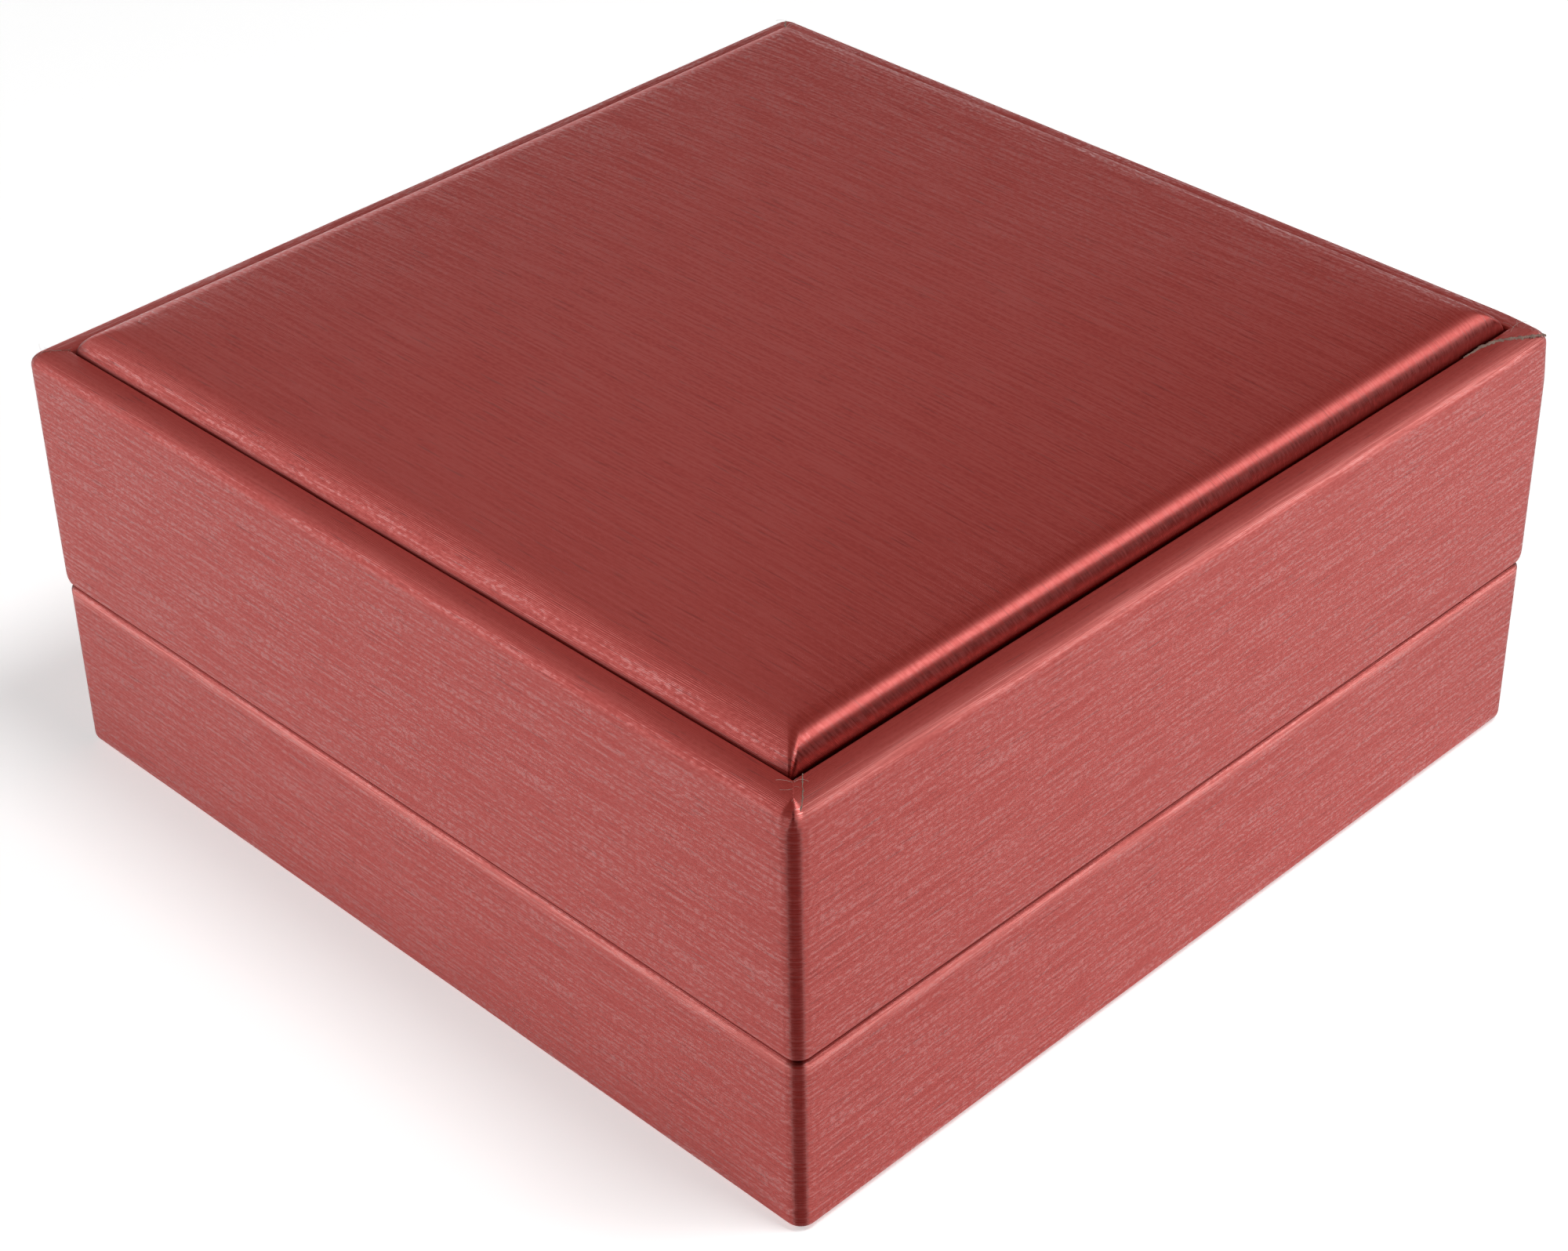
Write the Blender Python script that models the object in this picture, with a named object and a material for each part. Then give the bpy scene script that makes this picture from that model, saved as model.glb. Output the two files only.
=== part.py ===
"""A square bracelet box: a wrapped board case with a hinged lid and a padded panel in the lid's rim.

Metres, +Z up. The origin is on the table under the middle of the case. The front is -Y, the hinges are at +Y.
"""

import math
from collections import namedtuple

import bmesh
import bpy
from mathutils import Vector

# Case: what is seen from outside
CASE_WIDTH = 0.0900
CASE_DEPTH = 0.0900
RIM_HEIGHT = 0.0400
SEAM_HEIGHT = 0.0168
SEAM_GAP = 0.0003
BASE_SETBACK = 0.00015
CORNER_RADIUS = 0.0015
RIM_RADIUS = 0.0016
FOOT_RADIUS = 0.0008
LID_CURL_IN = 0.00045
LID_CURL_UP = 0.0012
BASE_CURL_IN = 0.0004
BASE_CURL_DOWN = 0.0005

# Board, and the wrap that is glued round it
BOARD_THICKNESS = 0.0014
WRAP_THICKNESS = 0.00035
GLUE_GAP = 0.00025
SEAT_GAP = 0.0003
FOLD_RADIUS = 0.00035
INNER_CORNER_RADIUS = 0.0002
WRAP_TURN_IN = 0.0060
WRAP_TURN_UNDER = 0.0060
SOLE_PROUD = 0.0001
SOLE_THICKNESS = 0.0004
BOARD_EDGE = 0.00015

# Lid: recess and the padded panel in it
PANEL_GAP = 0.00045
PANEL_BOARD_THICKNESS = 0.0012
PANEL_FOAM_EDGE = 0.0004
PANEL_CORNER_RADIUS = 0.0009
PANEL_WALL_BELOW_RIM = 0.0003
PANEL_ROLL_IN = 0.0032
PANEL_ROLL_UP = 0.00205
PANEL_CROWN = 0.0008
COVER_BORDER = 0.0060

# Linings, and the collar that the base's lining makes above its rim
LINING_THICKNESS = 0.0010
COLLAR_RISE = 0.0015
COLLAR_CLEARANCE = 0.0005
LINING_EDGE = 0.0002

# Satin pad in the lid
SATIN_THICKNESS = 0.0003
SATIN_BOARD_THICKNESS = 0.0010
SATIN_FOAM_EDGE = 0.0008
SATIN_ROLL_IN = 0.0030
SATIN_ROLL_UP = 0.0016
SATIN_CROWN = 0.0012
SATIN_CORNER_RADIUS = 0.0012

# Velour insert in the base
VELOUR_THICKNESS = 0.0005
INSERT_BOARD_THICKNESS = 0.0010
INSERT_FOAM_EDGE = 0.0025
INSERT_ROLL_IN = 0.0022
INSERT_ROLL_UP = 0.0015
INSERT_CORNER_RADIUS = 0.0015

# Oval cushion on the insert, which the bracelet goes round
CUSHION_WIDTH = 0.0500
CUSHION_DEPTH = 0.0380
CUSHION_CORNER_RADIUS = 0.0170
CUSHION_FOAM_EDGE = 0.0052
CUSHION_ROLL_IN = 0.0070
CUSHION_ROLL_UP = 0.0052
CUSHION_CROWN = 0.0010
CUSHION_BORDER = 0.0050

# Hinges
HINGE_END_INSET = 0.0210
HINGE_LENGTH = 0.0160
KNUCKLE_RADIUS = 0.00115
LEAF_THICKNESS = 0.00035
LEAF_REACH = 0.0080
PIN_RADIUS = 0.0004
PIN_HEAD_RADIUS = 0.0007
PIN_HEAD_LENGTH = 0.0004
HINGE_GAP = 0.00025
MIDDLE_KNUCKLE_SHARE = 0.36
TACK_SHANK_RADIUS = 0.0003
TACK_HEAD_RADIUS = 0.0008
TACK_HEAD_THICKNESS = 0.00035
TACK_POINT_LENGTH = 0.0004
TACK_SPREAD_SHARE = 0.56
TACK_DROP_SHARE = 0.62
POINT_SHARE = 0.25
CHAMFER_SHARE = 0.5

# Magnets
MAGNET_LENGTH = 0.0120
MAGNET_HEIGHT = 0.0020

# One overrun serves every cutter
OVERRUN = 0.0010

# Steps of rounded shapes
CORNER_STEPS = 4
ARC_STEPS = 4
ROLL_STEPS = 5
CROWN_STEPS = 5
SIDE_STEPS = 2
ROUND_SIDES = 12
KNUCKLE_STEPS = 16

# How the loops of a crowned top grow rounder on their way to the middle
ROLL_ROUNDING_SHARE = 0.5
MIDDLE_SHARE = 0.06
CROWN_POWER = 3
TURN = 2 * math.pi
SHARP_ANGLE = TURN / 10

# A crowned pad: its upright wall, the quarter turn of its roll above that, and the crown of its top
Pad = namedtuple("Pad", "half_x half_y radius wall roll_in roll_up crown")

WALL_THICKNESS = 2 * WRAP_THICKNESS + 2 * GLUE_GAP + BOARD_THICKNESS
BOARD_INSET = WRAP_THICKNESS + GLUE_GAP
BOARD_INNER_INSET = BOARD_INSET + BOARD_THICKNESS

LID_BOTTOM = SEAM_HEIGHT + SEAM_GAP / 2
BASE_TOP = SEAM_HEIGHT - SEAM_GAP / 2
FLOOR_BOTTOM = SOLE_PROUD + BOARD_INSET
FLOOR_TOP = FLOOR_BOTTOM + BOARD_THICKNESS
BASE_BOARD_TOP = BASE_TOP - BOARD_INSET
LID_BOARD_BOTTOM = LID_BOTTOM + BOARD_INSET
PANEL_WALL = WRAP_THICKNESS + PANEL_BOARD_THICKNESS + 2 * GLUE_GAP + PANEL_FOAM_EDGE
SATIN_WALL = SATIN_THICKNESS + SATIN_BOARD_THICKNESS + 2 * GLUE_GAP + SATIN_FOAM_EDGE
INSERT_WALL = VELOUR_THICKNESS + INSERT_BOARD_THICKNESS + 2 * GLUE_GAP + INSERT_FOAM_EDGE
CUSHION_WALL = VELOUR_THICKNESS + GLUE_GAP + CUSHION_FOAM_EDGE
RECESS_DEPTH = GLUE_GAP + PANEL_WALL + PANEL_WALL_BELOW_RIM
TOP_BOARD_TOP = RIM_HEIGHT - RECESS_DEPTH
TOP_BOARD_BOTTOM = TOP_BOARD_TOP - BOARD_THICKNESS
COLLAR_TOP = SEAM_HEIGHT + COLLAR_RISE

LID_HALF_X = CASE_WIDTH / 2
LID_HALF_Y = CASE_DEPTH / 2
BASE_HALF_X = LID_HALF_X - BASE_SETBACK
BASE_HALF_Y = LID_HALF_Y - BASE_SETBACK
LINING_INSET = WALL_THICKNESS + GLUE_GAP
LINED_INSET = LINING_INSET + LINING_THICKNESS
TACK_OFFSET = HINGE_LENGTH * TACK_SPREAD_SHARE / 2
TACK_DROP = LEAF_REACH * TACK_DROP_SHARE
POCKET_RADIUS = KNUCKLE_RADIUS + HINGE_GAP
RECESS_HALF = HINGE_LENGTH / 2 + PIN_HEAD_LENGTH + 2 * HINGE_GAP


def clear_scene():
    for obj in list(bpy.data.objects):
        bpy.data.objects.remove(obj, do_unlink=True)


def finish(name, colour, roughness, metallic):
    """One Principled material."""
    material = bpy.data.materials.new(name)
    material.use_nodes = True
    shader = material.node_tree.nodes["Principled BSDF"]
    shader.inputs["Base Color"].default_value = (*colour, 1.0)
    shader.inputs["Roughness"].default_value = roughness
    shader.inputs["Metallic"].default_value = metallic
    return material


def brushed_leatherette():
    return finish("brushed_leatherette", (0.42, 0.085, 0.075), 0.38, 0.55)


def greyboard():
    return finish("greyboard", (0.30, 0.27, 0.23), 0.90, 0.0)


def pad_foam():
    return finish("pad_foam", (0.78, 0.74, 0.62), 0.95, 0.0)


def dark_velour():
    return finish("dark_velour", (0.020, 0.018, 0.020), 0.95, 0.0)


def ivory_velour():
    return finish("ivory_velour", (0.72, 0.66, 0.56), 0.90, 0.0)


def ivory_satin():
    return finish("ivory_satin", (0.76, 0.70, 0.60), 0.38, 0.0)


def hinge_brass():
    return finish("hinge_brass", (0.80, 0.58, 0.26), 0.28, 1.0)


def nickel_plate():
    return finish("nickel_plate", (0.62, 0.60, 0.57), 0.25, 1.0)


def new_object(name, bm, material=None):
    """An object from a bmesh whose faces are turned outwards, shaded smooth between its sharp edges."""
    bmesh.ops.recalc_face_normals(bm, faces=bm.faces)
    mesh = bpy.data.meshes.new(name)
    bm.to_mesh(mesh)
    bm.free()
    mesh.shade_smooth()
    mesh.set_sharp_from_angle(angle=SHARP_ANGLE)
    if material:
        mesh.materials.append(material)
    obj = bpy.data.objects.new(name, mesh)
    bpy.context.scene.collection.objects.link(obj)
    return obj


def place(obj, parent, x=0.0, y=0.0, z=0.0):
    """Puts the object's origin at a point of the case, and hangs it on its body's empty."""
    obj.parent = parent
    obj.location = Vector((x, y, z)) - parent.location
    return obj


def body_empty(name, location):
    empty = bpy.data.objects.new(name, None)
    empty.location = location
    bpy.context.scene.collection.objects.link(empty)
    return empty


def loft(name, rings, material=None, tube=False):
    """A closed body through rings of equally many points: capped at both ends, or joined end to end as a tube."""
    bm = bmesh.new()
    rows = [[bm.verts.new(point) for point in ring] for ring in rings]
    pairs = list(zip(rows, rows[1:]))
    if tube:
        pairs.append((rows[-1], rows[0]))
    else:
        bm.faces.new(rows[0])
        bm.faces.new(rows[-1])
    count = len(rows[0])
    for low, high in pairs:
        for i in range(count):
            j = (i + 1) % count
            bm.faces.new((low[i], low[j], high[j], high[i]))
    return new_object(name, bm, material)


def rounded_rectangle(half_x, half_y, radius, z, side_steps=1):
    """Points round a rectangle with rounded corners, with extra points along its sides."""
    radius = min(radius, half_x, half_y)
    centres = [
        (half_x - radius, half_y - radius),
        (radius - half_x, half_y - radius),
        (radius - half_x, radius - half_y),
        (half_x - radius, radius - half_y),
    ]
    points = []
    for quarter, (x, y) in enumerate(centres):
        for step in range(CORNER_STEPS + 1):
            angle = TURN / 4 * (quarter + step / CORNER_STEPS)
            points.append(Vector((x + radius * math.cos(angle), y + radius * math.sin(angle), z)))
        start = points[-1]
        next_x, next_y = centres[(quarter + 1) % 4]
        angle = TURN / 4 * (quarter + 1)
        end = Vector((next_x + radius * math.cos(angle), next_y + radius * math.sin(angle), z))
        for step in range(1, side_steps):
            points.append(start.lerp(end, step / side_steps))
    return points


def rounded_path(corners):
    """Points of a path of upright and level stretches; each corner is (inset, z, radius in inset, radius in z)."""
    points = [corners[0][:2]]
    for before, corner, after in zip(corners, corners[1:], corners[2:]):
        x, z, radius_x, radius_z = corner
        in_x, in_z = direction(before, corner)
        out_x, out_z = direction(corner, after)
        centre_x = x - in_x * radius_x + out_x * radius_x
        centre_z = z - in_z * radius_z + out_z * radius_z
        if min(radius_x, radius_z) == 0:
            points.append((centre_x, centre_z))
            continue
        for step in range(ARC_STEPS + 1):
            angle = TURN / 4 * step / ARC_STEPS
            across = -out_x * math.cos(angle) + in_x * math.sin(angle)
            up = -out_z * math.cos(angle) + in_z * math.sin(angle)
            points.append((centre_x + radius_x * across, centre_z + radius_z * up))
    points.append(corners[-1][:2])
    return points


def direction(start, end):
    run = (end[0] - start[0], end[1] - start[1])
    length = math.hypot(*run)
    return run[0] / length, run[1] / length


def offset_path(corners, distance):
    """The same path, moved by the distance to its left side, where the board lies."""
    moved = []
    for i, (x, z, radius_x, radius_z) in enumerate(corners):
        shift_x = shift_z = 0.0
        if i > 0:
            along = direction(corners[i - 1], corners[i])
            shift_x -= along[1] * distance
            shift_z += along[0] * distance
        if i < len(corners) - 1:
            along = direction(corners[i], corners[i + 1])
            shift_x -= along[1] * distance
            shift_z += along[0] * distance
        if min(radius_x, radius_z) > distance:
            moved.append((x + shift_x, z + shift_z, radius_x - distance, radius_z - distance))
        else:
            moved.append((x + shift_x, z + shift_z, 0.0, 0.0))
    return moved


def wrap_skin(name, corners, half_x, half_y, material):
    """A wrap: its section follows the path, as thick as the wrap, all the way round the case."""
    section = rounded_path(corners) + rounded_path(offset_path(corners, WRAP_THICKNESS))[::-1]
    rings = [
        rounded_rectangle(half_x - inset, half_y - inset, max(CORNER_RADIUS - inset, INNER_CORNER_RADIUS), z)
        for inset, z in section
    ]
    return loft(name, rings, material, tube=True)


def wall_levels(bottom, top, radius):
    """(inset, z) of a wall board from bottom to top, its outer top edge rounded by the radius."""
    levels = [(BOARD_INSET, bottom), (BOARD_INSET, top - radius)]
    for step in range(1, ARC_STEPS + 1):
        angle = TURN / 4 * step / ARC_STEPS
        inset = BOARD_INSET + radius * (1 - math.cos(angle))
        levels.append((inset, top - radius + radius * math.sin(angle)))
    return levels


def long_board(name, levels, half_x, half_y, side, material):
    """A front (side -1) or back (side 1) wall: it runs the whole width, with rounded outer corners."""
    rings = []
    inner = half_y - BOARD_INNER_INSET
    for inset, z in levels:
        x = half_x - inset
        y = half_y - inset
        radius = max(CORNER_RADIUS - inset, INNER_CORNER_RADIUS)
        ring = [(-x, side * inner, z)]
        for sign in (-1, 1):
            for step in range(CORNER_STEPS + 1):
                share = step / CORNER_STEPS
                angle = TURN / 4 * (share if sign < 0 else 1 - share)
                across = x - radius + radius * math.cos(angle)
                out = y - radius + radius * math.sin(angle)
                ring.append((sign * across, side * out, z))
        ring.append((x, side * inner, z))
        rings.append(ring)
    return loft(name, rings, material)


def short_board(name, levels, half_x, half_y, side, material):
    """A left (side -1) or right (side 1) wall, which stands between the front and the back."""
    inner = half_x - BOARD_INNER_INSET
    reach = half_y - BOARD_INNER_INSET - GLUE_GAP
    rings = []
    for inset, z in levels:
        x = half_x - inset
        rings.append(
            [(side * x, -reach, z), (side * inner, -reach, z), (side * inner, reach, z), (side * x, reach, z)]
        )
    return loft(name, rings, material)


def slab(name, half_x, half_y, height, radius, edge, material=None):
    """A flat plate from z = 0 up, with rounded corners and small bevels."""
    rings = [
        rounded_rectangle(half_x - edge, half_y - edge, radius, 0.0),
        rounded_rectangle(half_x, half_y, radius, edge),
        rounded_rectangle(half_x, half_y, radius, height - edge),
        rounded_rectangle(half_x - edge, half_y - edge, radius, height),
    ]
    return loft(name, rings, material)


def pad_rings(pad, offset, bottom):
    """Rings of a crowned pad's surface, moved inwards by the offset, from its foot to its middle."""
    half = min(pad.half_x, pad.half_y)

    def ring(inset, z):
        rise = pad.crown * (1 - (1 - inset / half) ** CROWN_POWER)
        share = max(0.0, (inset - pad.roll_in) / (half - pad.roll_in))
        near = pad.radius - offset + ROLL_ROUNDING_SHARE * (inset - offset)
        rest = half - inset
        corner = min(rest, max(near, INNER_CORNER_RADIUS) * (1 - share) + rest * share)
        return rounded_rectangle(pad.half_x - inset, pad.half_y - inset, corner, z + rise, SIDE_STEPS)

    foot_corner = max(pad.radius - offset, INNER_CORNER_RADIUS)
    rings = [rounded_rectangle(pad.half_x - offset, pad.half_y - offset, foot_corner, bottom, SIDE_STEPS)]
    for step in range(ROLL_STEPS + 1):
        angle = TURN / 4 * step / ROLL_STEPS
        inset = offset + (pad.roll_in - offset) * (1 - math.cos(angle))
        rings.append(ring(inset, pad.wall + (pad.roll_up - offset) * math.sin(angle)))
    for step in range(1, CROWN_STEPS + 1):
        inset = pad.roll_in + (half * (1 - MIDDLE_SHARE) - pad.roll_in) * step / CROWN_STEPS
        rings.append(ring(inset, pad.wall + pad.roll_up - offset))
    return rings


def pad_cover(name, pad, thickness, border, material):
    """The skin over a pad: over the top, down the sides and turned under by its border."""
    corner = max(pad.radius - border, INNER_CORNER_RADIUS)
    window = [
        rounded_rectangle(pad.half_x - border, pad.half_y - border, corner, z, SIDE_STEPS) for z in (0.0, thickness)
    ]
    outer = pad_rings(pad, 0.0, 0.0)
    inner = pad_rings(pad, thickness, thickness)
    return loft(name, outer[::-1] + window + inner, material)


def pad_core(name, pad, offset, bottom, material):
    """The foam in a pad, under its cover and on its board."""
    return loft(name, pad_rings(pad, offset, bottom), material)


def turned(name, profile, material=None):
    """A round piece about X: the profile is (x, radius) from one flat end to the other."""
    rings = []
    for x, radius in profile:
        ring = []
        for side in range(ROUND_SIDES):
            angle = TURN * side / ROUND_SIDES
            ring.append((x, radius * math.cos(angle), radius * math.sin(angle)))
        rings.append(ring)
    return loft(name, rings, material)


def extruded(name, outline, half_length, material=None):
    """An outline of (y, z) points drawn out along X, to both sides of x = 0."""
    rings = [[(x, y, z) for y, z in outline] for x in (-half_length, half_length)]
    return loft(name, rings, material)


def cutter(obj):
    obj.hide_render = True
    obj.display_type = "WIRE"
    return obj


def cut(obj, tool):
    modifier = obj.modifiers.new("cut_" + tool.name, "BOOLEAN")
    modifier.operation = "DIFFERENCE"
    modifier.solver = "EXACT"
    modifier.object = tool


def build_base(body, materials):
    """The base tray: floor, four walls, wrap, sole and the lining that stands up as a collar."""
    half_x, half_y = BASE_HALF_X, BASE_HALF_Y
    floor_edge = max(FOOT_RADIUS - BOARD_INSET, BOARD_EDGE)
    floor = slab(
        "base_floor_board",
        half_x - BOARD_INSET,
        half_y - BOARD_INSET,
        BOARD_THICKNESS,
        max(CORNER_RADIUS - BOARD_INSET, INNER_CORNER_RADIUS),
        floor_edge,
        materials["greyboard"],
    )
    place(floor, body, z=FLOOR_BOTTOM)
    walls = build_walls("base", body, half_x, half_y, FLOOR_TOP + GLUE_GAP, BASE_BOARD_TOP, BOARD_EDGE, materials)

    corners = [
        (WALL_THICKNESS, BASE_TOP - WRAP_TURN_IN, 0.0, 0.0),
        (WALL_THICKNESS, BASE_TOP, FOLD_RADIUS, FOLD_RADIUS),
        (0.0, BASE_TOP, BASE_CURL_IN, BASE_CURL_DOWN),
        (0.0, SOLE_PROUD, FOOT_RADIUS, FOOT_RADIUS),
        (WRAP_TURN_UNDER, SOLE_PROUD, 0.0, 0.0),
    ]
    wrap = place(wrap_skin("base_wrap", corners, half_x, half_y, materials["brushed_leatherette"]), body)
    sole_inset = WRAP_TURN_UNDER + SEAT_GAP
    sole = slab(
        "base_sole",
        half_x - sole_inset,
        half_y - sole_inset,
        SOLE_THICKNESS,
        INNER_CORNER_RADIUS,
        SOLE_PROUD,
        materials["dark_velour"],
    )
    place(sole, body)
    linings = build_linings("base", body, half_x, half_y, FLOOR_TOP + GLUE_GAP, COLLAR_TOP, materials)
    return {"wrap": wrap, "linings": linings, **walls}


def build_lid(body, materials):
    """The lid: four walls, the recessed top board, wrap and linings."""
    half_x, half_y = LID_HALF_X, LID_HALF_Y
    board_radius = max(RIM_RADIUS - BOARD_INSET, BOARD_EDGE)
    walls = build_walls(
        "lid", body, half_x, half_y, LID_BOARD_BOTTOM, RIM_HEIGHT - BOARD_INSET, board_radius, materials
    )
    top_inset = BOARD_INNER_INSET + GLUE_GAP
    top = slab(
        "lid_top_board",
        half_x - top_inset,
        half_y - top_inset,
        BOARD_THICKNESS,
        INNER_CORNER_RADIUS,
        BOARD_EDGE,
        materials["greyboard"],
    )
    place(top, body, z=TOP_BOARD_BOTTOM)

    recess_tuck = RECESS_DEPTH - GLUE_GAP
    corners = [
        (WALL_THICKNESS, RIM_HEIGHT - recess_tuck, 0.0, 0.0),
        (WALL_THICKNESS, RIM_HEIGHT, FOLD_RADIUS, FOLD_RADIUS),
        (0.0, RIM_HEIGHT, RIM_RADIUS, RIM_RADIUS),
        (0.0, LID_BOTTOM, LID_CURL_IN, LID_CURL_UP),
        (WALL_THICKNESS, LID_BOTTOM, FOLD_RADIUS, FOLD_RADIUS),
        (WALL_THICKNESS, LID_BOTTOM + WRAP_TURN_IN, 0.0, 0.0),
    ]
    wrap = place(wrap_skin("lid_wrap", corners, half_x, half_y, materials["brushed_leatherette"]), body)
    lining_bottom = COLLAR_TOP + COLLAR_CLEARANCE
    linings = build_linings("lid", body, half_x, half_y, lining_bottom, TOP_BOARD_BOTTOM - GLUE_GAP, materials)
    return {"wrap": wrap, "linings": linings, **walls}


def build_walls(prefix, body, half_x, half_y, bottom, top, radius, materials):
    levels = wall_levels(bottom, top, radius)
    board = materials["greyboard"]
    return {
        "front": place(long_board(prefix + "_front_board", levels, half_x, half_y, -1, board), body),
        "back": place(long_board(prefix + "_back_board", levels, half_x, half_y, 1, board), body),
        "left": place(short_board(prefix + "_left_board", levels, half_x, half_y, -1, board), body),
        "right": place(short_board(prefix + "_right_board", levels, half_x, half_y, 1, board), body),
    }


def build_linings(prefix, body, half_x, half_y, bottom, top, materials):
    """Velour card strips against the four walls; the front and back ones run the whole width."""
    material = materials["ivory_velour"]
    height = top - bottom
    long_half = half_x - LINING_INSET
    short_half = half_y - LINED_INSET - GLUE_GAP
    middle_inset = LINING_INSET + LINING_THICKNESS / 2
    linings = {}
    for name, side in (("front", -1), ("back", 1)):
        strip = slab(
            f"{prefix}_lining_{name}", long_half, LINING_THICKNESS / 2, height, LINING_EDGE, LINING_EDGE, material
        )
        linings[name] = place(strip, body, y=side * (half_y - middle_inset), z=bottom)
    for name, side in (("left", -1), ("right", 1)):
        strip = slab(
            f"{prefix}_lining_{name}", LINING_THICKNESS / 2, short_half, height, LINING_EDGE, LINING_EDGE, material
        )
        linings[name] = place(strip, body, x=side * (half_x - middle_inset), z=bottom)
    return linings


def build_pad(prefix, body, pad, bottom, skin_name, skin, board_thickness, border, materials, upside_down=False):
    """A padded piece: its board if it has one, its foam and its cover."""
    inset = skin + GLUE_GAP
    foam_bottom = inset
    cover = place(pad_cover(prefix + "_cover", pad, skin, border, materials[skin_name]), body, z=bottom)
    pieces = [cover]
    if board_thickness:
        corner = max(pad.radius - inset, INNER_CORNER_RADIUS)
        board = slab(
            prefix + "_board",
            pad.half_x - inset,
            pad.half_y - inset,
            board_thickness,
            corner,
            BOARD_EDGE,
            materials["greyboard"],
        )
        pieces.append(place(board, body, z=bottom - inset if upside_down else bottom + inset))
        foam_bottom += board_thickness + GLUE_GAP
    foam = pad_core(prefix + "_foam", pad, inset, foam_bottom, materials["pad_foam"])
    pieces.append(place(foam, body, z=bottom))
    if upside_down:
        for piece in pieces:
            piece.rotation_euler.x = TURN / 2


def build_panel(body, materials):
    """The padded panel in the lid's recess."""
    half_x = LID_HALF_X - WALL_THICKNESS - PANEL_GAP
    half_y = LID_HALF_Y - WALL_THICKNESS - PANEL_GAP
    pad = Pad(half_x, half_y, PANEL_CORNER_RADIUS, PANEL_WALL, PANEL_ROLL_IN, PANEL_ROLL_UP, PANEL_CROWN)
    bottom = TOP_BOARD_TOP + GLUE_GAP
    skin = WRAP_THICKNESS
    build_pad(
        "panel", body, pad, bottom, "brushed_leatherette", skin, PANEL_BOARD_THICKNESS, COVER_BORDER, materials
    )


def build_satin_pad(body, materials):
    """The satin pad under the lid's top board, inside the linings."""
    half_x = LID_HALF_X - LINED_INSET - SEAT_GAP
    half_y = LID_HALF_Y - LINED_INSET - SEAT_GAP
    pad = Pad(half_x, half_y, SATIN_CORNER_RADIUS, SATIN_WALL, SATIN_ROLL_IN, SATIN_ROLL_UP, SATIN_CROWN)
    top = TOP_BOARD_BOTTOM - GLUE_GAP
    skin = SATIN_THICKNESS
    build_pad(
        "satin_pad", body, pad, top, "ivory_satin", skin, SATIN_BOARD_THICKNESS, COVER_BORDER, materials, True
    )


def build_insert(body, materials):
    """The velour insert on the base's floor, and the oval cushion on it."""
    half_x = BASE_HALF_X - LINED_INSET - SEAT_GAP
    half_y = BASE_HALF_Y - LINED_INSET - SEAT_GAP
    pad = Pad(half_x, half_y, INSERT_CORNER_RADIUS, INSERT_WALL, INSERT_ROLL_IN, INSERT_ROLL_UP, 0.0)
    bottom = FLOOR_TOP + SEAT_GAP
    skin = VELOUR_THICKNESS
    build_pad("insert", body, pad, bottom, "ivory_velour", skin, INSERT_BOARD_THICKNESS, COVER_BORDER, materials)
    oval = Pad(
        CUSHION_WIDTH / 2,
        CUSHION_DEPTH / 2,
        CUSHION_CORNER_RADIUS,
        CUSHION_WALL,
        CUSHION_ROLL_IN,
        CUSHION_ROLL_UP,
        CUSHION_CROWN,
    )
    seat = bottom + INSERT_WALL + INSERT_ROLL_UP + SEAT_GAP
    build_pad("cushion", body, oval, seat, "ivory_velour", skin, 0.0, CUSHION_BORDER, materials)


def leaf_outline(inner_face, facing):
    """(y, z) about the hinge's axis: the knuckle, the strap in the seam and the flange inside the wall."""
    top = SEAM_GAP / 2
    under = top + LEAF_THICKNESS
    first = TURN / 2 + math.asin(top / KNUCKLE_RADIUS)
    last = math.asin(under / KNUCKLE_RADIUS) - TURN / 2
    outline = []
    for step in range(KNUCKLE_STEPS + 1):
        angle = first + (last - first) * step / KNUCKLE_STEPS
        outline.append((KNUCKLE_RADIUS * math.cos(angle), KNUCKLE_RADIUS * math.sin(angle)))
    outline.append((LEAF_THICKNESS - inner_face, -under))
    outline.append((LEAF_THICKNESS - inner_face, -LEAF_REACH))
    outline.append((-inner_face, -LEAF_REACH))
    outline.append((-inner_face, -top))
    return [(y, facing * z) for y, z in outline]


def recess_outline(inner_face, facing):
    """(y, z) about the hinge's axis: what the wrap and the boards leave free for the leaf and the knuckles."""
    strap = SEAM_GAP / 2 + WRAP_THICKNESS + GLUE_GAP / 2
    slot = inner_face - WRAP_THICKNESS - GLUE_GAP / 2
    first = TURN / 2 + math.asin(strap / POCKET_RADIUS)
    outline = [(-inner_face - OVERRUN, -LEAF_REACH - GLUE_GAP), (-slot, -LEAF_REACH - GLUE_GAP), (-slot, -strap)]
    for step in range(KNUCKLE_STEPS + 1):
        angle = first + (TURN - first) * step / KNUCKLE_STEPS
        outline.append((POCKET_RADIUS * math.cos(angle), POCKET_RADIUS * math.sin(angle)))
    outline.append((POCKET_RADIUS, OVERRUN))
    outline.append((-inner_face - OVERRUN, OVERRUN))
    return [(y, facing * z) for y, z in outline]


def cylinder_along_x(name, radius, start, end):
    return cutter(turned(name, [(start, radius), (end, radius)]))


def tack_profile(length):
    """(x, radius) from the flat top of the head to the point."""
    return [
        (0.0, TACK_HEAD_RADIUS * CHAMFER_SHARE),
        (TACK_HEAD_THICKNESS * CHAMFER_SHARE, TACK_HEAD_RADIUS),
        (TACK_HEAD_THICKNESS, TACK_HEAD_RADIUS),
        (TACK_HEAD_THICKNESS, TACK_SHANK_RADIUS),
        (length - TACK_POINT_LENGTH, TACK_SHANK_RADIUS),
        (length, TACK_SHANK_RADIUS * POINT_SHARE),
    ]


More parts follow.
